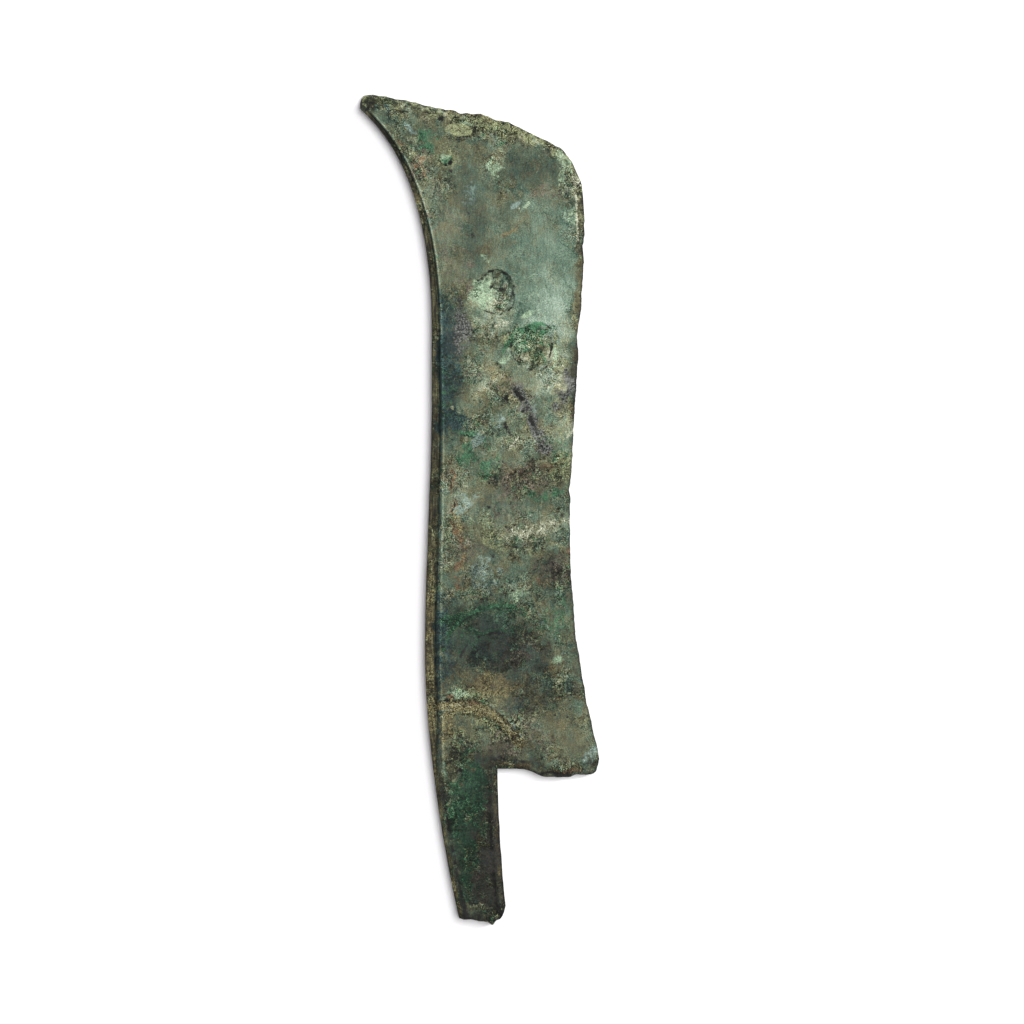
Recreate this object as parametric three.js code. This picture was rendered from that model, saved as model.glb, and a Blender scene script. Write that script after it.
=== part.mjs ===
// An ancient bronze machete: a broad single-edged blade with a hooked tip, a square heel and a short tang,
// cast in one piece and lying flat on its side.
//
// The outline is worked out from formulas in two directions. "Along" is 0 on the notch line, where the heel
// meets the tang, and grows towards the tip. "Across" is 0 on the straight stretch of the back and grows
// towards the cutting edge. All sizes are in millimetres.

import * as THREE from 'three';

// Lengths
const bladeLength = 254.6; // notch line to the end of the hook on the back
const tangLength = 59.8; // notch line to the lowest point of the broken tang end
const crestDrop = 40.5; // the end of the hook lies this far above the shoulder on the edge side

// The back, from the hook down to the tang
const hookReach = 27.6; // the tip stands this far behind the straight back
const hookLength = 86.9; // and leaves it over this length
const hookPower = 2.3;
const tipPower = 7; // the last of the hook turns out faster
const tipShare = 0.25;
const bowDepth = 2.6; // the back bows out by this much below the middle of the blade
const bowTop = 142;
const bowBottom = 46;
const tangSweep = 13.6; // the tang's end leans this far towards the edge
const sweepTop = 44;
const sweepPower = 1.7;

// The cutting edge, from the heel up to the shoulder
const waistWidth = 53.35; // straight back to the edge where the blade is narrowest
const waistHeight = 97.9;
const heelFlare = 12.8;
const heelPower = 2.2;
const heelTuck = 2.4; // the heel's outer corner turns in by this much
const heelTuckRun = 7.5;
const bellyFlare = 5.6;
const bellyHeight = 207.9;

// The heel and the tang
const tangRootWidth = 24.8;
const tangEndWidth = 18.2;
const heelDrop = 3.2; // the outer part of the heel is this much longer than the part beside the tang
const heelDropRun = 9.6;
const heelRise = 0.9; // and shorter again by this much next to its corner
const heelCorner = 2.6; // rounding of the heel's outer corner
const endCorner = 5.2; // rounding of the tang's outer end corner
const nubLength = 1.6; // a broken stub on the tang's end

// Thickness
const bodyThickness = 6.2; // behind the back's step, and over the whole tang
const shoulderThickness = 2.6; // where the edge bevel starts
const edgeThickness = 0.7;
const bevelWidth = 3;
const flangeThickness = 3.2; // casting flange that runs down the back and round the tang
const flangeWidth = 3.7; // above the heel
const flangeNarrow = 2.6; // at the top of the straight back
const narrowFrom = 50;
const narrowTo = 200;
const tangFlangeWidth = 0.8;
const tipFlangeWidth = 1.1;
const grooveDepth = 0.35; // between the flange and the step
const stepWidth = 2.2; // run of the step from the flange up to the face of the blade
const stepNarrow = 0.9;
const tangBevelWidth = 3; // the same step, drawn out to a slope, on the tang and beside it
const heelBevelRun = 8.5; // length of the slope along the heel, from the notch outwards
const heelEdgeThickness = 3.6;

// Crusts and scars, placed by shares: along of the blade's length, across of the waist's width
const blister = { along: 0.7217, across: 0.436, radius: 8.4, depth: 0.8, rim: 0.3 };
const burst = { along: 0.639, across: 0.721, radius: 8.7, depth: 0.9, rim: 0.25 };
const flake = { along: 0.968, across: 0.197, radius: 5.4, squash: 0.45, height: 0.6 };
const nodule = { along: 0.9225, across: 0.0955, radius: 2, height: 0.9 };
// trace of the lost handle's end: along and across
const scarPath = [[0.095, 0.074], [0.095, 0.276], [0.086, 0.385], [0.077, 0.45], [0.06, 0.551], [0.041, 0.645]];
const scarWidth = 2.3;
const scarHeight = 0.5;
// along, depth, width
const chips = [[0.66, 0.9, 5], [0.425, 0.7, 2.5], [0.79, 0.5, 2], [0.2, 0.4, 3], [0.1, 0.35, 2.2]];
const ripple = 0.12; // unevenness of the edge and of the crest

// The crest, from the hook's end to the shoulder: shares of its width and of crestDrop, downwards
const crestShape = [
  [0, 0], [0, -0.067], [0.009, -0.114], [0.027, -0.133], [0.105, -0.12], [0.2125, -0.071], [0.373, 0.004],
  [0.534, 0.052], [0.641, 0.121], [0.748, 0.213], [0.855, 0.326], [0.909, 0.392], [0.9625, 0.589],
  [0.989, 0.731], [1, 1],
];

// Mesh density, all counts even
const tangRows = 22;
const bladeRows = 90;
const tangColumns = 18;
const outerColumns = 18;
const columns = tangColumns + outerColumns;
const outlineSteps = 240;
const rowSamples = 60;

const clamp = THREE.MathUtils.clamp;
const lerp = THREE.MathUtils.lerp;
const ease = (value, low, high) => THREE.MathUtils.smoothstep(value, low, high);
const bump = (value, centre, width) => Math.exp(-(((value - centre) / width) ** 2));
const bulge = (value, power) => Math.max(0, value) ** power;

// Outline

function backAcross(along) {
  const turn = Math.max(0, (along - bladeLength + hookLength) / hookLength);
  const hook = hookReach * lerp(turn ** hookPower, turn ** tipPower, tipShare);
  const bow = bowDepth * (1 - ease(along, bowBottom, bowTop));
  const sweep = tangSweep * bulge((sweepTop - along) / (sweepTop + tangLength), sweepPower);
  return sweep - hook - bow;
}

function edgeAcross(along) {
  const heel = heelFlare * bulge((waistHeight - along) / waistHeight, heelPower);
  const rise = clamp((along - waistHeight) / (bellyHeight - waistHeight), 0, 1);
  const belly = bellyFlare * 0.5 * (rise + ease(rise, 0, 1));
  const wave = ripple * (Math.sin(along * 0.9) + Math.sin(along * 0.53 + 1));
  const lost = chips.reduce((sum, [share, depth, width]) => (
    sum + depth * bump(along, share * bladeLength, width)), 0);
  const tuck = heelTuck * bulge(1 - along / heelTuckRun, 2);
  return waistWidth + heel + belly + wave - lost - tuck;
}

function tangWidth(along) {
  return lerp(tangRootWidth, tangEndWidth, clamp(-along / tangLength, 0, 1));
}

const shoulderHeight = bladeLength - crestDrop;
const tip = new THREE.Vector2(backAcross(bladeLength), bladeLength);
const shoulder = new THREE.Vector2(edgeAcross(shoulderHeight), shoulderHeight);
const crest = new THREE.SplineCurve(crestShape.map(([right, down]) => new THREE.Vector2(
  lerp(tip.x, shoulder.x, right),
  bladeLength - crestDrop * down,
)));

// A row's point on the blade: straight from back to edge, bent to the crest's shape near the tip and to the
// heel's shape near the notch line.
function bladePoint(height, share) {
  const left = new THREE.Vector2(backAcross(height * bladeLength), height * bladeLength);
  const right = new THREE.Vector2(edgeAcross(height * shoulderHeight), height * shoulderHeight);
  const point = left.clone().lerp(right, share);
  const crestBend = crest.getPointAt(clamp(share, 0, 1)).sub(tip.clone().lerp(shoulder, share));
  point.addScaledVector(crestBend, height ** 3);
  const distance = share * left.distanceTo(right);
  const drop = heelDrop * ease(distance, tangRootWidth + heelDropRun, tangRootWidth + 2 * heelDropRun)
    - heelRise * ease(distance, waistWidth - 1, waistWidth + 2);
  const toCorner = clamp(1 - (right.distanceTo(left) - distance) / heelCorner, 0, 1);
  const corner = Math.sqrt(1 - toCorner ** 2);
  point.y -= drop * corner * (1 - ease(height, 0, 0.12));
  return point;
}

function tangPoint(depth, share) {
  const ragged = 1.5 - nubLength * bump(share, 0.68, 0.07) + 0.4 * Math.sin(share * 9);
  const corner = endCorner * bulge((share - 0.82) / 0.18, 2) + 0.8 * bulge((0.12 - share) / 0.12, 2);
  const along = -depth * tangLength + (ragged + corner) * depth ** 6;
  return new THREE.Vector2(backAcross(along) + share * tangWidth(along), along);
}

// Width of the flange and run of the step beside it
function backProfile(along) {
  const onTang = 1 - ease(along, -6, 26);
  const narrow = ease(along, narrowFrom, narrowTo);
  const nearTip = ease(along, bladeLength - hookLength * 0.7, bladeLength);
  const flange = lerp(lerp(flangeWidth, flangeNarrow, narrow), tipFlangeWidth, nearTip);
  return {
    flange: lerp(flange, tangFlangeWidth, onTang),
    step: lerp(lerp(stepWidth, stepNarrow, narrow), tangBevelWidth, onTang),
  };
}

// A row's point: rows below the notch line lie on the tang
function planPoint(height, share) {
  return height < 0 ? tangPoint(-height, share) : bladePoint(height, share);
}

// Share of a row where its distances to a line, sampled evenly, first reach a stop
function shareAt(distances, stop) {
  const next = distances.findIndex((distance) => distance >= stop);
  if (next < 1) return next === 0 ? 0 : 1;
  const step = (stop - distances[next - 1]) / (distances[next] - distances[next - 1]);
  return (next - 1 + step) / rowSamples;
}

function evenly(low, high, count) {
  return Array.from({ length: count }, (_, i) => lerp(low, high, (i + 1) / (count + 1)));
}

// Shares of the row where the columns stand. They crowd at the back's step, at the tang's slope and at the
// edge's bevel, and above the heel they spread out evenly between the back and the edge.
function columnShares(height) {
  const row = Array.from({ length: rowSamples + 1 }, (_, i) => planPoint(height, i / rowSamples));
  const width = row[0].distanceTo(row[rowSamples]);
  const toBack = row.map((point) => distanceTo(backLine, point));
  const { flange, step } = backProfile(height * (height < 0 ? tangLength : bladeLength));
  const backStops = [0, flange / 2, flange, flange + step / 2, flange + step, flange + step + 1.4];
  const left = backStops.map((stop) => shareAt(toBack, stop));
  const slopeWidth = tangFlangeWidth + tangBevelWidth;
  const slopeStops = [1.15, 1, 0.6, tangFlangeWidth / slopeWidth, 0].map((stop) => stop * slopeWidth);
  const tangSide = height < 0 ? 1 : tangRootWidth / width;
  const slopes = slopeStops.map((stop) => tangSide - stop / width);
  const innerCount = tangColumns - slopes.length - left.length + 1;
  const tangPart = [...left, ...evenly(left[left.length - 1], slopes[0], innerCount), ...slopes];
  if (height < 0) return tangPart;
  const toEdge = row.map((point) => distanceTo(edgeLine, point)).reverse();
  const nearCrest = ease(height, 0.7, 0.88);
  const right = [1.5, 1, 0.5, 0].map((stop) => stop * bevelWidth).map((stop) => (
    1 - lerp(height < 0.88 ? shareAt(toEdge, stop) : 0, stop / width, nearCrest)));
  const crowded = [...tangPart, ...evenly(tangSide, right[0], outerColumns - right.length), ...right];
  const freeCount = columns + 1 - left.length - right.length;
  const even = [...left, ...evenly(left[left.length - 1], right[0], freeCount), ...right];
  const spread = 1 - ease(height, 0.02, 0.16);
  return crowded.map((stop, i) => lerp(even[i], stop, spread));
}

// Distances from a point to the borders of the plan

function sampled(curvePoint) {
  return Array.from({ length: outlineSteps + 1 }, (_, i) => curvePoint(i / outlineSteps));
}

const backLine = sampled((t) => {
  const along = lerp(-tangLength * 1.05, bladeLength, t);
  return new THREE.Vector2(backAcross(along), along);
});
const edgeLine = [
  ...sampled((t) => new THREE.Vector2(edgeAcross(t * shoulderHeight), t * shoulderHeight)),
  ...sampled((t) => crest.getPointAt(1 - t * 0.97)),
];
const heelLine = sampled((t) => bladePoint(0, lerp(tangRootWidth / (waistWidth + heelFlare + bowDepth), 1, t)));
const tangLine = sampled((t) => tangPoint(t, 1));
const notchLine = [...heelLine.filter((point) => point.x < heelLine[0].x + heelBevelRun), ...tangLine];

function distanceTo(line, point) {
  const segment = new THREE.Line3();
  const nearest = new THREE.Vector3();
  const from = new THREE.Vector3(point.x, point.y, 0);
  let best = Infinity;
  for (let i = 1; i < line.length; i += 1) {
    segment.start.set(line[i - 1].x, line[i - 1].y, 0);
    segment.end.set(line[i].x, line[i].y, 0);
    segment.closestPointToPoint(from, true, nearest);
    best = Math.min(best, nearest.distanceTo(from));
  }
  return best;
}

// Thickness

// The plain section: one thickness on the tang, and a wedge that thins towards the edge on the blade.
function bodyAt(point, toBack, toEdge) {
  const wedge = lerp(shoulderThickness, bodyThickness, (toEdge / (toEdge + toBack)) ** 0.9);
  return lerp(bodyThickness, wedge, ease(point.y, -8, 12));
}

function thicknessAt(point, body, toBack, toEdge) {
  const { flange, step } = backProfile(point.y);
  const groove = grooveDepth * bump(toBack, flange + 0.15 * step, 0.3 * step);
  const back = flangeThickness - groove + bodyThickness * bulge((toBack - flange) / step, 1);
  const edge = edgeThickness + (shoulderThickness - edgeThickness) * toEdge / bevelWidth;
  const slope = bodyThickness * bulge((distanceTo(notchLine, point) - tangFlangeWidth) / tangBevelWidth, 1);
  const heel = heelEdgeThickness + (bodyThickness - heelEdgeThickness) * distanceTo(heelLine, point) / 1.5;
  return Math.min(body, back, edge, flangeThickness + slope, heel);
}

// Crusts and scars

function placed({ along, across }) {
  return new THREE.Vector2(across * waistWidth, along * bladeLength);
}

const scarPlaces = scarPath.map(([along, across]) => placed({ along, across }));
const scarLine = new THREE.SplineCurve(scarPlaces).getPoints(30);

function reliefAt(point) {
  let height = 0;
  for (const pit of [blister, burst]) {
    const distance = point.distanceTo(placed(pit)) / pit.radius;
    height += pit.rim * bump(distance, 1.08, 0.13) - pit.depth * (1 - ease(distance, 0.76, 1));
  }
  const { x, y } = point.clone().sub(placed(flake));
  height += flake.height * (1 - ease(Math.hypot(x, y / flake.squash) / flake.radius, 0.7, 1));
  height += nodule.height * (1 - ease(point.distanceTo(placed(nodule)) / nodule.radius, 0.2, 1.1));
  height += scarHeight * bump(distanceTo(scarLine, point), 0, scarWidth);
  return height;
}

// Surface

// The lower face lies flat, so the blade rests on its side. The upper face mirrors the section about the
// middle of the plain body, and carries the crusts.
function heightsAt(point) {
  const toBack = distanceTo(backLine, point);
  const toEdge = distanceTo(edgeLine, point);
  const body = bodyAt(point, toBack, toEdge);
  const thickness = thicknessAt(point, body, toBack, toEdge);
  const lower = (body - thickness) / 2;
  const inside = ease(Math.min(toBack - backProfile(point.y).flange, toEdge - 1), 0, 2);
  return { lower, upper: lower + thickness + reliefAt(point) * inside };
}

const rowHeights = [
  ...Array.from({ length: tangRows }, (_, i) => -1 + i / tangRows),
  ...Array.from({ length: bladeRows + 1 }, (_, i) => 1.35 * (i / bladeRows) - 0.35 * (i / bladeRows) ** 2),
];

const points = rowHeights.map((height) => columnShares(height).map((share) => {
  const plan = planPoint(height, share);
  return { plan, ...heightsAt(plan) };
}));

// Walks round the border counter-clockwise, seen from above, as [row, column]
function borderWalk() {
  const walk = [];
  const top = rowHeights.length - 1;
  for (let c = 0; c < tangColumns; c += 1) walk.push([0, c]);
  for (let r = 0; r < tangRows; r += 1) walk.push([r, tangColumns]);
  for (let c = tangColumns; c < columns; c += 1) walk.push([tangRows, c]);
  for (let r = tangRows; r < top; r += 1) walk.push([r, columns]);
  for (let c = columns; c > 0; c -= 1) walk.push([top, c]);
  for (let r = top; r > 0; r -= 1) walk.push([r, 0]);
  return walk;
}

// The upper face has every row and column, the lower face every second one, and the rim joins them with
// three triangles for each step of the lower face.
function macheteGeometry() {
  const positions = [];
  const triangles = [];
  const vertex = new Map();
  const vertexAt = (face, row, column) => {
    const key = `${face} ${row} ${column}`;
    if (!vertex.has(key)) {
      const { plan, [face]: height } = points[row][column];
      vertex.set(key, positions.length / 3);
      positions.push(plan.x, plan.y, height);
    }
    return vertex.get(key);
  };
  const addFace = (face, step) => {
    for (let r = 0; r + step <= rowHeights.length - 1; r += step) {
      const last = r < tangRows ? tangColumns : columns;
      for (let c = 0; c + step <= last; c += step) {
        const near = [vertexAt(face, r, c), vertexAt(face, r, c + step)];
        const far = [vertexAt(face, r + step, c), vertexAt(face, r + step, c + step)];
        const quad = [[near[0], near[1], far[1]], [near[0], far[1], far[0]]];
        quad.forEach(([a, b, d]) => triangles.push(...(face === 'upper' ? [a, b, d] : [a, d, b])));
      }
    }
  };
  addFace('upper', 1);
  addFace('lower', 2);
  const walk = borderWalk();
  for (let i = 0; i < walk.length; i += 2) {
    const ends = [walk[i], walk[i + 1], walk[(i + 2) % walk.length]];
    const [a, b, c] = ends.map(([row, column]) => vertexAt('upper', row, column));
    const [d, e] = [ends[0], ends[2]].map(([row, column]) => vertexAt('lower', row, column));
    triangles.push(a, d, b, b, d, e, b, e, c);
  }
  const geometry = new THREE.BufferGeometry();
  geometry.setAttribute('position', new THREE.Float32BufferAttribute(positions, 3));
  geometry.setIndex(triangles);
  geometry.computeBoundingBox();
  const centre = geometry.boundingBox.getCenter(new THREE.Vector3());
  geometry.translate(-centre.x, -centre.y, -geometry.boundingBox.min.z);
  geometry.computeVertexNormals();
  return geometry;
}

const bronze = new THREE.MeshStandardMaterial({ color: 0x4a5445, roughness: 0.7, metalness: 0.2 });
const machete = new THREE.Mesh(macheteGeometry(), bronze);
machete.name = 'machete';

const group = new THREE.Group();
group.add(machete);
export default group;
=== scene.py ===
# An ancient bronze machete lying on its side, with the corroded surface that centuries in the ground gave it.
# Lengths are millimetres until the mesh is made. "Along" starts at the notch beside the tang and grows
# towards the tip, "across" starts at the straight stretch of the back and grows towards the cutting edge.

import math
import bpy
import numpy as np
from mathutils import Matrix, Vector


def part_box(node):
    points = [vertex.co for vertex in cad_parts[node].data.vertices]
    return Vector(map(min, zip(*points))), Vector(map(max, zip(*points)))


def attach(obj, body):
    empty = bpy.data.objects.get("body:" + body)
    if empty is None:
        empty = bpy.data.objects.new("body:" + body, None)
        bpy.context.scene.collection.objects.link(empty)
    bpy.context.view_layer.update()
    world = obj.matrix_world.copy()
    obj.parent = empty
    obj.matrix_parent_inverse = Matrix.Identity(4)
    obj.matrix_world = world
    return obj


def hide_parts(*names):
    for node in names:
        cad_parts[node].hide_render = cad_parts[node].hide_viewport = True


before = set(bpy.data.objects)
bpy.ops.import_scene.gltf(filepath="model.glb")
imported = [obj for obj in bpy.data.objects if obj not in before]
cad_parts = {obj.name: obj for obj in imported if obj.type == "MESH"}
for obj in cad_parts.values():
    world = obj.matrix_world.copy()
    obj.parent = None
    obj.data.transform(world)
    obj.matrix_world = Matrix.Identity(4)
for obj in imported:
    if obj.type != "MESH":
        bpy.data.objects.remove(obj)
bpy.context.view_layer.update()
metre = 0.001  # one millimetre in Blender's units

# The photograph's own frame, used to say where a stain or a scar sits
photo = {
    "millimetresPerPixel": 0.386,
    "backPixel": 431.8,  # the straight back
    "notchPixel": 768.5,  # the notch line
    "framePixels": 1024,
}

# Outline and section, with the same sizes as the solid
plan = {
    "bladeLength": 254.6,
    "tangLength": 59.8,
    "crestDrop": 40.5,
    "hookReach": 27.6,
    "hookLength": 86.9,
    "hookPower": 2.3,
    "tipPower": 7.0,
    "tipShare": 0.25,
    "bowDepth": 2.6,
    "bowTop": 142.0,
    "bowBottom": 46.0,
    "tangSweep": 13.6,
    "sweepTop": 44.0,
    "sweepPower": 1.7,
    "waistWidth": 53.35,
    "waistHeight": 97.9,
    "heelFlare": 12.8,
    "heelPower": 2.2,
    "heelTuck": 2.4,
    "heelTuckRun": 7.5,
    "bellyFlare": 5.6,
    "bellyHeight": 207.9,
    "tangRootWidth": 24.8,
    "tangEndWidth": 18.2,
    "heelDrop": 3.2,
    "heelDropRun": 9.6,
    "heelRise": 0.9,
    "heelCorner": 2.6,
    "endCorner": 5.2,
    "nubLength": 1.6,
    "nubPlace": 0.68,  # as a share of the tang's width, and so is the next
    "nubShare": 0.07,
    "bodyThickness": 6.2,
    "shoulderThickness": 2.6,
    "edgeThickness": 0.7,
    "bevelWidth": 3.0,
    "flangeThickness": 3.2,
    "flangeWidth": 3.7,
    "flangeNarrow": 2.6,
    "narrowFrom": 50.0,
    "narrowTo": 200.0,
    "tangFlangeWidth": 0.8,
    "tipFlangeWidth": 1.1,
    "grooveDepth": 0.35,
    "stepWidth": 2.2,
    "stepNarrow": 0.9,
    "tangBevelWidth": 3.0,
    "heelBevelRun": 8.5,
    "heelEdgeThickness": 3.6,
    # across and down the crest, as shares of its width and of crestDrop
    "crestShape": [
        (0, 0), (0, -0.067), (0.009, -0.114), (0.027, -0.133), (0.105, -0.12), (0.2125, -0.071),
        (0.373, 0.004), (0.534, 0.052), (0.641, 0.121), (0.748, 0.213), (0.855, 0.326), (0.909, 0.392),
        (0.9625, 0.589), (0.989, 0.731), (1, 1),
    ],
    # how far up the blade (mm), how deep, how wide
    "chips": [
        (168, 0.9, 5.0), (108.2, 0.7, 2.5), (201, 0.5, 2.0), (51, 0.4, 3.0), (25.5, 0.35, 2.2),
    ],
    "edgeRipple": 0.26,
    "crestRipple": 0.8,
    "backRipple": 0.07,
    "heelRipple": 0.28,
    "tangEndRipple": 0.25,
}

# Mesh fineness. The counts of rows and columns are even, because the underside takes every second one.
mesh = {"tangRows": 124, "bladeRows": 540, "tangColumns": 52, "outerColumns": 74, "walkSteps": 161}


# Shapes of one variable

# From 0 at low to 1 at high: three times t squared less twice t cubed
def smooth(value, low, high):
    t = np.clip((value - low) / (high - low), 0, 1)
    return t * t * (3 - 2 * t)


# Bell of height 1: e to the power of minus the squared distance from the centre, counted in widths
def bump(value, centre, width):
    return np.exp(-((value - centre) / width) ** 2)


# What is above zero, to a power
def raised(value, power):
    return np.maximum(value, 0) ** power


# Random fields, the same on every run: numbers of cells after which they repeat

latticeCells = 128
spotCells = 97


# Lattice of random values joined by a quintic fade, between -1 and 1
def cloud(x, y, grain, seed):
    table = np.random.default_rng(seed).uniform(-1, 1, (latticeCells, latticeCells))
    turned = 0.7 + seed
    gx = (x * math.cos(turned) - y * math.sin(turned)) / grain + 300
    gy = (x * math.sin(turned) + y * math.cos(turned)) / grain + 300
    ix = np.floor(gx).astype(int)
    iy = np.floor(gy).astype(int)
    fx = gx - ix
    fy = gy - iy
    fx = fx ** 3 * (fx * (6 * fx - 15) + 10)
    fy = fy ** 3 * (fy * (6 * fy - 15) + 10)
    corner = lambda dx, dy: table[(ix + dx) % latticeCells, (iy + dy) % latticeCells]
    low = corner(0, 0) * (1 - fx) + corner(1, 0) * fx
    high = corner(0, 1) * (1 - fx) + corner(1, 1) * fx
    return low * (1 - fy) + high * fy


# Sum of clouds, each half as coarse and a little over half as strong as the one before, brought back to about
# -1 to 1. The numbers in its calls are the size of the largest forms in millimetres, a seed and the octaves.
def layered(x, y, grain, seed, octaves=4):
    total = 0
    for octave in range(octaves):
        total = total + 0.55 ** octave * cloud(x, y, grain / 2 ** octave, seed + octave)
    return total / 1.6


# A spot in a share of the lattice cells, at a random place: 1 at its centre, falling to 0 at its own radius
def spots(x, y, cell, radius, share, seed):
    rng = np.random.default_rng(seed)
    placeX, placeY, size, present = rng.random((4, spotCells, spotCells))
    ix = np.floor(x / cell).astype(int)
    iy = np.floor(y / cell).astype(int)
    best = np.zeros_like(x)
    for dx in (-1, 0, 1):
        for dy in (-1, 0, 1):
            cx = (ix + dx) % spotCells
            cy = (iy + dy) % spotCells
            offX = x / cell - (ix + dx) - placeX[cx, cy]
            offY = y / cell - (iy + dy) - placeY[cx, cy]
            reach = radius / cell * (0.4 + size[cx, cy])
            inside = 1 - np.hypot(offX, offY) / reach
            best = np.maximum(best, np.where(present[cx, cy] < share, inside, 0))
    return best


# Outline

# Straight stretch, less the hook, less the bow, plus the tang's lean
def backAcross(along):
    turn = np.maximum(0, (along - plan["bladeLength"] + plan["hookLength"]) / plan["hookLength"])
    hook = (1 - plan["tipShare"]) * turn ** plan["hookPower"] + plan["tipShare"] * turn ** plan["tipPower"]
    bow = plan["bowDepth"] * (1 - smooth(along, plan["bowBottom"], plan["bowTop"]))
    lean = (plan["sweepTop"] - along) / (plan["sweepTop"] + plan["tangLength"])
    return plan["tangSweep"] * raised(lean, plan["sweepPower"]) - plan["hookReach"] * hook - bow


# Waist, plus the flare of the heel, plus the belly, less the heel's tuck and the chips, with a fine ripple
def edgeAcross(along, rough=1.0):
    heel = plan["heelFlare"] * raised((plan["waistHeight"] - along) / plan["waistHeight"], plan["heelPower"])
    rise = np.clip((along - plan["waistHeight"]) / (plan["bellyHeight"] - plan["waistHeight"]), 0, 1)
    belly = plan["bellyFlare"] * 0.5 * (rise + smooth(rise, 0, 1))
    lost = sum(depth * bump(along, place, width) for place, depth, width in plan["chips"])
    ripple = plan["edgeRipple"] * layered(along, along * 0, 2.4, 5, 4)
    tuck = plan["heelTuck"] * raised(1 - along / plan["heelTuckRun"], 2)
    return plan["waistWidth"] + heel + belly - tuck + rough * (ripple - lost)


# Falls evenly from the root's width at the notch to the end's width
def tangWidth(along):
    t = np.clip(-along / plan["tangLength"], 0, 1)
    return plan["tangRootWidth"] * (1 - t) + plan["tangEndWidth"] * t


# Catmull-Rom spline through the knots, walked at even steps of its length
def evenCurve(knots, count):
    p = np.array(knots, float)
    p = np.vstack([p[:1], p, p[-1:]])
    t = np.linspace(0, len(p) - 3, 60 * len(p))
    i = np.minimum(t.astype(int), len(p) - 4)
    f = (t - i)[:, None]
    a, b, c, d = p[i], p[i + 1], p[i + 2], p[i + 3]
    square = (2 * a - 5 * b + 4 * c - d) * f ** 2
    path = 0.5 * (2 * b + (c - a) * f + square + (3 * b - a - 3 * c + d) * f ** 3)
    walked = np.concatenate([[0], np.cumsum(np.hypot(*np.diff(path, axis=0).T))])
    steps = np.linspace(0, walked[-1], count)
    return np.stack([np.interp(steps, walked, path[:, k]) for k in (0, 1)], -1)


bladeLength = plan["bladeLength"]
shoulderHeight = bladeLength - plan["crestDrop"]
tip = np.array([backAcross(bladeLength), bladeLength])
shoulder = np.array([edgeAcross(np.array(shoulderHeight), 0), shoulderHeight])
crestKnots = [
    (tip[0] + (shoulder[0] - tip[0]) * right, bladeLength - plan["crestDrop"] * down)
    for right, down in plan["crestShape"]
]
crest = evenCurve(crestKnots, 801)


# A point of the blade: straight from back to edge, bent to the crest near the tip, and dropped at the heel.
# The drop has a quarter ellipse at the outer corner.
def bladePoint(height, share):
    backX = backAcross(height * bladeLength)
    backX = backX + plan["backRipple"] * layered(height * bladeLength, height * 0, 7, 8, 3)
    edgeX = edgeAcross(height * shoulderHeight)
    x = backX + (edgeX - backX) * share
    y = height * (bladeLength + (shoulderHeight - bladeLength) * share)
    steps = np.linspace(0, 1, len(crest))
    ripple = plan["crestRipple"] * layered(share * 90, share * 0, 3.5, 12, 4) * smooth(share, 0.03, 0.12)
    ripple = ripple * (1 - smooth(share, 0.9, 1.0))
    bendX = np.interp(share, steps, crest[:, 0]) - (tip[0] + (shoulder[0] - tip[0]) * share)
    bendY = np.interp(share, steps, crest[:, 1]) - (tip[1] + (shoulder[1] - tip[1]) * share)
    x = x + bendX * height ** 3
    y = y + (bendY + ripple * smooth(height, 0.9, 1)) * height ** 3
    width = edgeX - backX
    first = plan["tangRootWidth"] + plan["heelDropRun"]
    drop = plan["heelDrop"] * smooth(share * width, first, first + plan["heelDropRun"])
    drop = drop - plan["heelRise"] * smooth(share * width, plan["waistWidth"] - 1, plan["waistWidth"] + 2)
    ragged = plan["heelRipple"] * layered(share * width, height * 0, 4.5, 15, 3)
    drop = drop + ragged * smooth(share * width, 26, 34)
    toCorner = np.clip(1 - (1 - share) * width / plan["heelCorner"], 0, 1)
    return x, y - drop * np.sqrt(1 - toCorner ** 2) * (1 - smooth(height, 0, 0.12))


# A point of the tang: its rows end ragged, with a stub and two rounded corners
def tangPoint(depth, share):
    nub = plan["nubLength"] * bump(share, plan["nubPlace"], plan["nubShare"])
    ragged = 1.5 - nub + 0.4 * np.sin(share * 9)
    ragged = ragged + plan["tangEndRipple"] * layered(share * 18, share * 0, 2.4, 21, 3)
    corner = plan["endCorner"] * raised((share - 0.82) / 0.18, 2) + 0.8 * raised((0.12 - share) / 0.12, 2)
    along = -depth * plan["tangLength"] + (ragged + corner) * depth ** 6
    wave = 0.12 * layered(along, share * 9, 6, 23, 3)
    back = backAcross(along) + plan["backRipple"] * layered(along, along * 0, 7, 8, 3)
    return back + share * tangWidth(along) + wave * share, along


# The tang where the height is below zero, and the blade above
def planPoint(height, share):
    tangPart = tangPoint(np.maximum(-height, 0), share)
    bladePart = bladePoint(np.maximum(height, 0), share)
    return tuple(np.where(height < 0, low, high) for low, high in zip(tangPart, bladePart))


# Distance from every point to a line: to the nearest of its close samples, less the way along the line there
def distanceTo(line, x, y):
    ways = np.gradient(line, axis=0)
    half = np.hypot(*ways.T) / 2
    ways = ways / (2 * half[:, None])
    flatX = np.ravel(x)
    flatY = np.ravel(y)
    out = np.empty(flatX.size)
    batch = 4000  # points worked on at a time
    for start in range(0, flatX.size, batch):
        px = flatX[start:start + batch, None]
        py = flatY[start:start + batch, None]
        gap = (px - line[:, 0]) ** 2 + (py - line[:, 1]) ** 2
        k = gap.argmin(1)
        shift = (px[:, 0] - line[k, 0]) * ways[k, 0] + (py[:, 0] - line[k, 1]) * ways[k, 1]
        kept = np.clip(shift, -half[k], half[k])
        squared = gap[np.arange(k.size), k] - shift ** 2 + (shift - kept) ** 2
        out[start:start + batch] = np.sqrt(np.maximum(squared, 0))
    return out.reshape(np.shape(x))


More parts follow.
